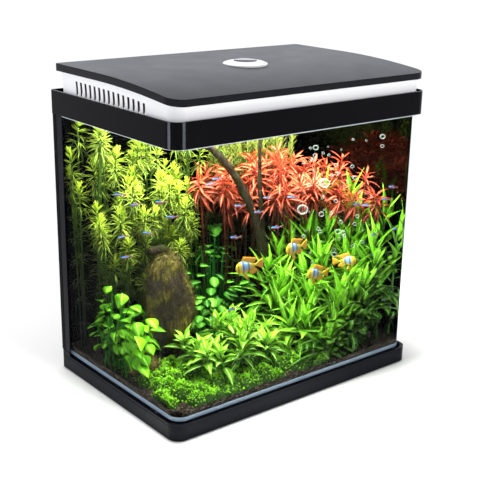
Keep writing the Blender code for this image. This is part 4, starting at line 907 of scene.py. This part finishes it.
# Each fin is four points, as shares of the length and of the height: the root's two ends, then the tip's.
RAM_FINS = (((0.74, 0.10), (0.74, -0.10), (1.00, 0.42), (1.00, -0.42)),       # tail
            ((0.22, 0.40), (0.66, 0.16), (0.30, 0.85), (0.82, 0.52)),         # back
            ((0.46, -0.34), (0.68, -0.14), (0.56, -0.72), (0.82, -0.46)),     # under the tail
            ((0.24, -0.40), (0.34, -0.42), (0.34, -0.95), (0.46, -0.88)))     # belly
NEON_FINS = (((0.75, 0.10), (0.75, -0.10), (1.00, 0.50), (1.00, -0.50)),
             ((0.38, 0.42), (0.52, 0.34), (0.44, 0.85), (0.58, 0.60)),
             ((0.48, -0.38), (0.66, -0.20), (0.54, -0.80), (0.72, -0.46)))


def ram_finish():
    """Yellow head and belly, pale blue middle with dark bars and a dark bar through the eye, orange fins."""
    f = Finish("ram_fish_scales")
    along, height, fin = f.parts("leaf")
    spots = f.noise(900.0, 2.0)
    flank = f.mix(along.above(0.62, 0.25), (0.22, 0.40, 0.66), (0.55, 0.42, 0.03))
    body = f.mix(along.above(0.26, 0.10), (0.72, 0.52, 0.03), flank)
    belly = f.mix((0.0 - height).above(0.35, 0.4), body, (0.78, 0.46, 0.04))
    flank_bars = (along * 24).math("SINE").above(0.55, 0.5) * along.band(0.46, 0.2, 0.08)
    bars = (flank_bars + along.band(0.11, 0.022, 0.02)) * 0.85
    marked = f.mix((bars * spots.above(0.4, 0.3)).math("MINIMUM", 1.0), belly, (0.02, 0.02, 0.05))
    fins = f.mix(height, (0.60, 0.44, 0.05), (0.72, 0.24, 0.02))
    return f.surface({"Base Color": f.mix(fin.above(0.5), marked, fins), "Roughness": 0.3,
                      "Specular IOR Level": 0.3})


def neon_finish():
    """A bright blue-white stripe over a red one on a dark olive body with a silver belly; the blue stripe has
    a painted glow standing in for its shine.
    """
    f = Finish("neon_fish_scales")
    along, height, fin = f.parts("leaf")
    body = f.mix(height.above(0.4, 0.3), (0.28, 0.30, 0.32), (0.02, 0.04, 0.03))
    red = f.mix(height.band(-0.35, 0.4, 0.15) * along.above(0.12, 0.1), body, (0.75, 0.02, 0.02))
    blue = f.mix(height.band(0.38, 0.34, 0.12), red, (0.02, 0.30, 0.85))
    # painted glow: the blue stripe emits light
    painted_stripe_glow = height.band(0.38, 0.3, 0.1) * (1 - fin)
    return f.surface({"Base Color": f.mix(fin.above(0.5), blue, (0.25, 0.10, 0.08)), "Roughness": 0.4,
                      "Emission Color": f.mix(painted_stripe_glow, (0, 0, 0), (0.02, 0.25, 0.8)),
                      "Emission Strength": 0.25, "Specular IOR Level": 0.15})


# Each ram: its place as shares of the planted space, its turn, its tilt and its length.
RAMS = (((0.345, 0.13, 0.470), 0.15, -0.10, 0.038), ((0.545, 0.13, 0.500), 0.40, -0.05, 0.037),
        ((0.640, 0.12, 0.365), 0.25, 0.10, 0.035), ((0.745, 0.09, 0.400), 2.50, 0.15, 0.032))
NEON_PLACES = ((0.030, 0.52, 0.750), (0.080, 0.50, 0.705), (0.086, 0.305, 0.750), (0.128, 0.305, 0.683),
               (0.090, 0.422, 0.602), (0.051, 0.55, 0.570), (0.075, 0.58, 0.473), (0.278, 0.305, 0.785),
               (0.245, 0.188, 0.832), (0.334, 0.188, 0.707), (0.412, 0.188, 0.666), (0.319, 0.188, 0.583),
               (0.490, 0.188, 0.586), (0.449, 0.188, 0.716), (0.556, 0.188, 0.699), (0.951, 0.07, 0.688),
               (0.782, 0.07, 0.646), (0.826, 0.07, 0.632), (0.919, 0.07, 0.640), (0.875, 0.07, 0.493),
               (0.970, 0.05, 0.500), (0.886, 0.07, 0.399), (0.312, 0.188, 0.285))


def keep_fish():
    """Four rams in the middle and small neons through the tank."""
    rams = Bundle()
    for at, turned, tilt, length in RAMS:
        add_fish(rams, inside(*at), (turned - 0.35, tilt), length, length * 0.44, RAM_FINS)
    rams.piece("ram_fish", ram_finish(), "tank", "ceramic")
    neons = Bundle()
    rng = np.random.default_rng(19)
    for place in NEON_PLACES:
        turned = rng.normal(-0.45, 0.2)
        length = rng.uniform(0.0125, 0.0155)
        add_fish(neons, inside(*place), (turned, rng.normal(0, 0.12)), length, length * 0.24, NEON_FINS)
    return neons.piece("neon_fish", neon_finish(), "tank", "ceramic")


def bubble_finish():
    """A thin film: clear in the middle and white towards the edge, a painted reflection that glows faintly."""
    f = Finish("air_bubble")
    edge = f.add("LayerWeight", {}, {"Blend": 0.5}, result="Facing")
    # painted reflection: a white coat with its own glow, strongest at the edge
    white = f.coat({"Base Color": (0.8, 0.9, 0.85), "Roughness": 0.15, "Emission Color": (0.6, 0.75, 0.6),
                    "Emission Strength": 0.25})
    return f.end(f.add("MixShader", {}, {0: (edge ** 2.0) * 0.38, 1: f.add("BsdfTransparent"), 2: white}))


def blow_bubbles():
    """Bubbles rising on the right: small balls, slightly flattened, each with a few dozen faces."""
    rng = np.random.default_rng(20)
    bundle = Bundle()
    count = 64
    reach = ((0.52, 0.86), (0.03, 0.10), (0.44, 0.94))
    centre = np.column_stack([rng.uniform(low, high, count) for low, high in reach])
    radius = rng.choice([0.0012, 0.0018, 0.0026, 0.0036, 0.0070], count, p=[0.34, 0.30, 0.22, 0.10, 0.04])
    for share, size in zip(centre, radius):
        at = inside(*share)
        add_ball(bundle, lambda d, at=at, size=size: at + d * size * [1, 1, 0.86], 6, 10)
    return bundle.piece("rising_bubbles", bubble_finish(), "tank", "glass")


# ---------------------------------------------------------------- water
# The panes don't bend light here, so the side walls would mirror too late at water's own index.
WALL_MIRROR_IOR = 1.62


def water_finish():
    """Clear water. From inside, its walls mirror where light can't leave them; from outside it hardly
    shows."""
    f = Finish("clear_water")
    inward = f.add("NewGeometry", result="Backfacing")
    sideways = f.normal_part("X").math("ABSOLUTE").above(0.35, 0.3)
    bounce = f.add("Fresnel", {}, {"IOR": WALL_MIRROR_IOR}).above(0.6, 0.2) * sideways
    glint = f.add("Fresnel", {}, {"IOR": 1.06}) * (1 - inward)
    clear = f.add("BsdfTransparent", {}, {"Color": (0.99, 1.0, 0.995)})
    mirror = f.add("BsdfGlossy", {}, {"Color": (0.018, 0.020, 0.018), "Roughness": 0.03})
    return f.end(f.add("MixShader", {}, {0: inward * bounce + glint * 0.15, 1: clear, 2: mirror}))


def fill_water():
    """The water: a closed prism just inside the glass, with the front corners rounded like the panes."""
    low = inside_low + WATER_GAP
    high = inside_high - WATER_GAP
    outline = round_front(low, high, CORNER_RADIUS - WATER_GAP, high[1], 13)
    count = len(outline)
    levels = np.array([FLOOR + WATER_GAP, high[2]])
    points = np.concatenate([np.column_stack([outline, np.full(count, level)]) for level in levels])
    middle = np.array([[0.0, (low[1] + high[1]) / 2, level] for level in levels])
    around = np.arange(count)
    beside = (around + 1) % count
    wall = np.stack([around, beside, beside + count, around + count], axis=1)
    floor_fan = np.stack([np.full(count, 2 * count), beside, around], axis=1)
    top_fan = np.stack([np.full(count, 2 * count + 1), around + count, beside + count], axis=1)
    bundle = Bundle().add(np.concatenate([points, middle]), wall, np.concatenate([floor_fan, top_fan]))
    return bundle.piece("water_body", water_finish(), "tank", "glass", smooth=False)


# ---------------------------------------------------------------- trims
def pane_outline(off, back):
    """The run round the panes from the left back to the right back, moved outward by off."""
    return round_front(pane_low - off, pane_high + off, CORNER_RADIUS + GLASS_WALL + off, back, 17)


def add_band(bundle, outer, inner, low, high):
    """A closed band: the strip between two outlines, from one height to another, shut at both ends."""
    count = len(outer)
    rings = [np.column_stack([line, np.full(count, z)]) for line, z in
             ((outer, low), (outer, high), (inner, high), (inner, low))]
    points = np.stack(rings, axis=1).reshape(-1, 3)
    last = 4 * count
    ends = np.array([[3, 2, 1, 0], [last - 4, last - 3, last - 2, last - 1]])
    bundle.add(points, np.concatenate([grid_faces(count, 4, wrap=True), ends]))


MESH_INSET = 0.0062         # the dark sheet of painted shade: in from the hood's outer width, behind the slotted walls
MESH_THICK = 0.0005
MESH_FROM_FRONT = 0.045
MESH_FROM_BACK = 0.030
MESH_GAP = 0.0005           # over the rim
MESH_UNDER_COVER = 0.004


def back_vents():
    """A dark woven sheet of painted shade standing just inside the hood's slotted side walls: two thin closed
    upright plates, from the rim to a little under the cover."""
    low, high = node_box("hood_frame")
    cover_low, cover_high = node_box("cover_plate")
    f = Finish("vent_shade_weave")
    # the sheet stands for the shade behind the slots; its weave is two dark tones
    weave = f.cells(1500.0)
    finish = f.surface({"Base Color": f.mix(weave, (0.012, 0.011, 0.011), (0.040, 0.036, 0.035)),
                        "Roughness": 0.8, "Normal": f.bump(weave, 0.0002)})
    front, back = low[1] + MESH_FROM_FRONT, high[1] - MESH_FROM_BACK
    rows, columns = 30, 4
    y, up = np.linspace(back, front, rows)[:, None], np.linspace(0, 1, columns)[None, :]
    bottom = RIM_TOP + MESH_GAP
    top = cover_low[2] + (cover_high[2] - cover_low[2]) * 0.30 - MESH_UNDER_COVER
    z = np.broadcast_to(bottom + (top - bottom) * up, (rows, columns))
    bundle = Bundle()
    for side in (-1, 1):
        depths = [side * (high[0] - MESH_INSET - off) for off in (0.0, MESH_THICK)]
        sheets = [np.stack(np.broadcast_arrays(x, y, z), axis=-1).reshape(-1, 3) for x in depths]
        outer, inner = sheets if side > 0 else sheets[::-1]
        add_plate(bundle, outer, inner, z.shape, np.zeros((2 * len(outer), 3)))
    return bundle.piece("vent_shade_sheet", finish, "hood", "black_plastic", smooth=False)


def run_beads():
    """The bright line of clear sealant round the panes, just under the rim: pale, with a faint painted glow
    for the light it catches.
    """
    f = Finish("clear_bead")
    clouds = f.noise(200.0, 2.0)
    # painted highlight: the bead emits a little light
    finish = f.surface({"Base Color": f.mix(clouds, (0.55, 0.60, 0.66), (0.80, 0.84, 0.88)), "Roughness": 0.2,
                        "Normal": f.bump(clouds, 0.0003), "Emission Color": (0.7, 0.8, 0.9),
                        "Emission Strength": 0.25})
    bundle = Bundle()
    post_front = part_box("rear_post_left")[0].y - 0.0006
    outer, inner = (pane_outline(off, post_front) for off in (0.0007, 0.0001))
    add_band(bundle, outer, inner, RIM_FOOT - 0.0016, RIM_FOOT - 0.0004)
    return bundle.piece("rim_bead", finish, "tank", "silicone", smooth=False)


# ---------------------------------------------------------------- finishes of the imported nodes
def plastic_finish(name, dark, light, roughness, grain, depth, shine):
    """Moulded plastic: two close tones in slow clouds, a fine moulded grain and uneven gloss."""
    f = Finish(name)
    clouds = f.noise(30.0, 2.0)
    fine = f.noise(grain, 2.0)
    return f.surface({"Base Color": f.mix(clouds, dark, light), "Roughness": clouds * 0.08 + roughness,
                      "Normal": f.bump(fine, depth, 0.5), "Specular IOR Level": shine})


def clear_glass_finish():
    """Float glass: clear, faintly green-blue, with a weak mirror that grows at a glancing angle."""
    f = Finish("float_glass")
    outward = 1 - f.add("NewGeometry", result="Backfacing")
    glint = f.add("Fresnel", {}, {"IOR": 1.15}) * outward
    smear = f.noise(18.0, 3.0) * 0.02
    clear = f.add("BsdfTransparent", {}, {"Color": (0.985, 0.995, 0.995)})
    mirror = f.add("BsdfGlossy", {}, {"Color": (0.9, 0.95, 1.0), "Roughness": 0.03})
    return f.end(f.add("MixShader", {}, {0: glint * 0.22 + smear * outward * 0.1, 1: clear, 2: mirror}))


def silicone_finish():
    """Pale blue-grey sealant, smooth and a little cloudy, with a faint painted glow."""
    f = Finish("pale_silicone")
    clouds = f.noise(60.0, 3.0)
    # painted glow: the sealant emits a little light
    return f.surface({"Base Color": f.mix(clouds, (0.20, 0.27, 0.36), (0.36, 0.45, 0.56)), "Roughness": 0.35,
                      "Normal": f.bump(clouds, 0.0004), "Emission Color": (0.25, 0.35, 0.5),
                      "Emission Strength": 0.15})


def brushed_steel_finish():
    """Steel with fine lines across its length."""
    f = Finish("plain_steel")
    lines = f.noise(900.0, 2.0, vector=f.stretched((0.05, 1.0, 1.0)))
    return f.surface({"Base Color": f.mix(lines, (0.42, 0.42, 0.43), (0.66, 0.66, 0.67)), "Metallic": 1.0,
                      "Roughness": lines * 0.2 + 0.2, "Normal": f.bump(lines, 0.0001)})


def lamp_board_finish():
    """White board with a grid of small yellow-white chips."""
    f = Finish("lamp_board_chips")
    x, y = (f.part(f.place(), axis) for axis in "XY")
    chip = (x * 420).math("SINE").above(0.6, 0.1) * (y * 300).math("SINE").above(0.5, 0.1)
    return f.surface({"Base Color": f.mix(chip, (0.78, 0.78, 0.76), (0.90, 0.80, 0.30)), "Roughness": 0.4,
                      "Normal": f.bump(chip, 0.0006)})


def lens_finish():
    """Frosted acrylic with fine ribs across it, softly lit from behind."""
    f = Finish("frosted_lens")
    ribs = (f.part(f.place(), "X") * 2600).math("SINE")
    return f.surface({"Base Color": f.mix(ribs * 0.5 + 0.5, (0.78, 0.84, 0.92), (0.92, 0.95, 1.0)),
                      "Roughness": 0.5, "Normal": f.bump(ribs, 0.0002), "Emission Color": (0.85, 0.93, 1.0),
                      "Emission Strength": 0.6})


def sponge_finish():
    """Dark open foam."""
    f = Finish("filter_foam")
    pores = f.cells(700.0)
    return f.surface({"Base Color": f.mix(pores.above(0.3, 0.3), (0.004, 0.005, 0.007), (0.05, 0.06, 0.08)),
                      "Roughness": 0.95, "Normal": f.bump(pores, 0.001)})


VENTS_FRONT, VENTS_BACK = -0.085, 0.090       # the vents lie between these depths


def hood_finish():
    """White moulding, with painted shade, dark grey-brown, on the walls inside the vents: those that face
    along the side walls."""
    f = Finish("vented_hood_moulding")
    x, y = (f.part(f.place(), axis) for axis in "XY")
    across = f.normal_part("Y").math("ABSOLUTE")
    at_side = x.math("ABSOLUTE").above(cad_high.x - 0.0100, 0.0004)
    among = y.above(VENTS_FRONT, 0.0004) * (1 - y.above(VENTS_BACK, 0.0004))
    clouds = f.noise(30.0, 3.0)
    white = f.mix(clouds, (0.80, 0.80, 0.83), (0.86, 0.86, 0.88))
    # painted shade: the vent walls that face along the side walls are coloured dark
    colour = f.mix(across.above(0.8, 0.1) * at_side * among, white, (0.045, 0.038, 0.036))
    grain = f.noise(1200.0, 2.0)
    return f.surface({"Base Color": colour, "Roughness": 0.33 + clouds * 0.05,
                      "Normal": f.bump(grain, 0.00003)})


# Moulded plastics and the like: name, two tones, roughness, the grain's scale and depth, and the shine.
PLASTICS = {
    "black_plastic": ("black_moulding", (0.0034, 0.0036, 0.0060), (0.0050, 0.0052, 0.0082), 0.22, 1400.0,
                      0.00003, 0.05),
    "cover_plastic": ("cover_satin", (0.0060, 0.0062, 0.0090), (0.0090, 0.0092, 0.0130), 0.30, 2600.0,
                      0.00005, 0.1),
    "white_plastic": ("white_moulding", (0.80, 0.80, 0.83), (0.86, 0.86, 0.88), 0.35, 1200.0, 0.00003, 0.4),
    "button_gloss": ("button_smoke", (0.10, 0.10, 0.11), (0.16, 0.16, 0.17), 0.10, 500.0, 0.00002, 0.7),
    "background": ("black_backing", (0.0035, 0.0035, 0.0040), (0.0060, 0.0062, 0.0070), 0.75, 300.0,
                   0.0001, 0.1),
    "foot_rubber": ("foot_rubber", (0.012, 0.012, 0.012), (0.022, 0.022, 0.022), 0.8, 500.0, 0.0002, 0.2),
    "ceramic": ("shaft_ceramic", (0.70, 0.68, 0.64), (0.82, 0.80, 0.76), 0.3, 600.0, 0.0001, 0.5),
}
# The same for single nodes that differ from the rest of their slot.
OWN_PLASTICS = (
    (("top_rim",), ("rim_gloss", (0.0016, 0.0016, 0.0024), (0.0026, 0.0026, 0.0036), 0.13, 1400.0,
                    0.00002, 0.04)),
    (("riser_pipe", "outlet_nozzle"), ("smoked_tube", (0.006, 0.007, 0.006), (0.012, 0.013, 0.010), 0.3,
                                       900.0, 0.00003, 0.3)),
    (("rear_seal_left", "rear_seal_right"), ("dark_sealant", (0.004, 0.004, 0.005), (0.008, 0.008, 0.010),
                                             0.4, 500.0, 0.0001, 0.2)),
)


def finish_nodes():
    """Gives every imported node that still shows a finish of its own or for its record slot."""
    finishes = {slot: plastic_finish(*recipe) for slot, recipe in PLASTICS.items()}
    finishes.update(glass=clear_glass_finish(), silicone=silicone_finish(), steel=brushed_steel_finish(),
                    lamp_board=lamp_board_finish(), lamp_lens=lens_finish(), filter_sponge=sponge_finish())
    own = {"hood_frame": hood_finish()}
    for nodes, recipe in OWN_PLASTICS:
        own.update(dict.fromkeys(nodes, plastic_finish(*recipe)))
    for node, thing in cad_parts.items():
        if thing.hide_render:
            continue
        slot = thing.data.materials[0].name.split(".")[0]
        thing.data.materials[0] = own[node] if node in own else finishes[slot]


# ---------------------------------------------------------------- camera, floor and lights
CAMERA_AT = (-0.7817, -0.9687, 0.5796)
CAMERA_ANGLES = (-38.95, 17.84, 0.986)        # azimuth, elevation and roll, in degrees
CAMERA_LENS = 73.4


def place_camera():
    """Looks down a little from the left of the front, rolled by a degree."""
    azimuth, elevation, roll = (math.radians(angle) for angle in CAMERA_ANGLES)
    back = Vector((math.sin(azimuth) * math.cos(elevation), -math.cos(azimuth) * math.cos(elevation),
                   math.sin(elevation)))
    level = Vector((0, 0, 1)).cross(back).normalized()
    upward = back.cross(level)
    right = math.cos(roll) * level + math.sin(roll) * upward
    over = math.cos(roll) * upward - math.sin(roll) * level
    camera = bpy.data.objects.new("camera", bpy.data.cameras.new("camera"))
    camera.data.lens = CAMERA_LENS
    camera.matrix_world = Matrix((right, over, back)).transposed().to_4x4()
    camera.location = CAMERA_AT
    bpy.context.scene.collection.objects.link(camera)
    bpy.context.scene.camera = camera


def area_light(name, at, towards, size, power, colour=(1, 1, 1), seen=True):
    """A rectangle of light facing a point; seen says whether glossy surfaces mirror it."""
    data = bpy.data.lights.new(name, "AREA")
    data.shape, (data.size, data.size_y) = "RECTANGLE", size
    data.energy, data.color = power, colour
    light = bpy.data.objects.new(name, data)
    light.location = at
    light.rotation_mode = "QUATERNION"
    light.rotation_quaternion = (Vector(towards) - Vector(at)).to_track_quat("-Z", "Y")
    light.visible_camera = False
    light.visible_glossy = seen
    bpy.context.scene.collection.objects.link(light)
    return light


OUTER_NODES = ("hood_frame", "cover_plate", "button_bezel", "light_button", "top_rim", "base_frame",
               "rear_post_left", "rear_post_right", "hinge_pin_left", "hinge_pin_right", "cable_gland")
# Soft lights on the outer plastics: name, place, the point they face, size, power, colour, and whether
# glossy surfaces mirror them.
SHELL_LIGHTS = (
    ("front_fill", (0.7, -2.2, 0.9), (0, 0, 0.35), (1.6, 1.2), 29, (1, 1, 1), False),
    ("left_fill", (-2.2, 0.3, 0.9), (0, 0, 0.35), (1.4, 1.2), 19, (0.93, 0.94, 1.0), False),
    ("back_sheen", (1.9, 2.5, 1.25), (0, 0, 0.41), (2.6, 1.0), 14, (0.88, 0.92, 1.0), True),
)
# Strips of light that the rim's rounded corner mirrors: name and bearing in degrees.
CORNER_STRIPS = (("corner_strip_left", 163.6), ("corner_strip_front", 292.2))
STRIP_DISTANCE, STRIP_DROP = 1.1, 11.8        # metres from the corner, and degrees below it
FLOOR_REACH = 60.0
SKY_TILT = (-12, -4, 0)                       # degrees


def set_stage():
    """A pale floor in a white room, a broad light overhead, and the tank's own lamp under the hood."""
    lay_floor()
    set_room()
    sun = bpy.data.lights.new("soft_sky_light", "SUN")
    sun.energy, sun.angle = 3.0, math.radians(75)
    sky = bpy.data.objects.new("soft_sky_light", sun)
    sky.rotation_euler = [math.radians(angle) for angle in SKY_TILT]
    bpy.context.scene.collection.objects.link(sky)
    lamp_at = (0, (inside_low[1] + inside_high[1]) / 2 - 0.006, RIM_TOP + 0.004)
    area_light("tank_lamp", lamp_at, (0, lamp_at[1], 0), (0.362, 0.226), 8.0, (1.0, 1.0, 0.93), seen=False)
    shell = gathered("outer_plastics", OUTER_NODES)
    for recipe in SHELL_LIGHTS:
        light_only(shell, area_light(*recipe))
    corner = np.array([cad_low.x + 0.010, cad_low.y + 0.010, RIM_FOOT + 0.015])
    drop = -math.tan(math.radians(STRIP_DROP))
    for name, degrees in CORNER_STRIPS:
        bearing = math.radians(degrees)
        at = corner + STRIP_DISTANCE * np.array([math.cos(bearing), math.sin(bearing), drop])
        strip = area_light(name, at, corner, (0.10, 0.24), 4.5, (0.80, 0.86, 1.0))
        light_only(gathered(name, ["top_rim"]), strip)


def lay_floor():
    """The pale floor: one large square just under the feet."""
    floor = Finish("studio_floor")
    pale = floor.mix(floor.noise(3.0), (0.88, 0.88, 0.88), (0.90, 0.90, 0.90))
    mesh = bpy.data.meshes.new("floor")
    corners = [(x * FLOOR_REACH, y * FLOOR_REACH, 0) for x, y in ((-1, -1), (1, -1), (1, 1), (-1, 1))]
    mesh.from_pydata(corners, [], [(0, 1, 2, 3)])
    mesh.materials.append(floor.surface({"Base Color": pale, "Roughness": 0.9, "Specular IOR Level": 0.0}))
    ground = bpy.data.objects.new("floor", mesh)
    ground.location.z = cad_low.z - 0.0002
    bpy.context.scene.collection.objects.link(ground)


def gathered(name, nodes):
    """A set of objects that a light can be limited to."""
    found = bpy.data.collections.new(name)
    for node in nodes:
        found.objects.link(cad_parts[node])
    return found


def light_only(shell, light):
    """Limits a light to a set of objects."""
    light.light_linking.receiver_collection = shell


def light_planting(pieces):
    """Soft light from the left and the front on what grows, so that the leaves by the panes aren't black."""
    planting = bpy.data.collections.new("planting")
    for piece in pieces:
        planting.objects.link(piece)
    for name, at, towards, power in (("left_leaf_light", (-1.5, -0.35, 0.75), (-0.1, 0, 0.15), 26),
                                     ("front_leaf_light", (0.5, -1.6, 0.7), (0.05, 0, 0.12), 34)):
        light_only(planting, area_light(name, at, towards, (1.2, 0.8), power, seen=False))


def set_room():
    """White where the camera looks past the tank, and dimmer as light, so that the inside keeps its
    shadows."""
    world = bpy.data.worlds.new("room")
    world.use_nodes = True
    tree = world.node_tree
    paths = tree.nodes.new("ShaderNodeLightPath")
    strength = tree.nodes.new("ShaderNodeMapRange")
    strength.inputs["To Min"].default_value = ROOM_LIGHT
    tree.links.new(paths.outputs["Is Camera Ray"], strength.inputs["Value"])
    background = tree.nodes["Background"]
    background.inputs["Color"].default_value = (1, 1, 1, 1)
    tree.links.new(strength.outputs["Result"], background.inputs["Strength"])
    bpy.context.scene.world = world
    bpy.context.scene.view_settings.view_transform = "Standard"


place_camera()
set_stage()
soil = lay_soil()
stone_finish = moss_stone_finish()
stones = [set_stone("large_mossy_stone", "rock_large", 31, stone_finish),
          set_stone("small_mossy_stone", "rock_small", 47, stone_finish)]
wood = lay_driftwood()
grown = [plant_fine_stems(), plant_rear_grass(), plant_red_stems(), plant_long_leaves(), plant_centre_bush(),
         plant_broad_leaves(), plant_round_leaves(), plant_carpet()]
light_planting([soil, *stones, *grown])
keep_fish()
blow_bubbles()
fill_water()
run_beads()
back_vents()
finish_nodes()
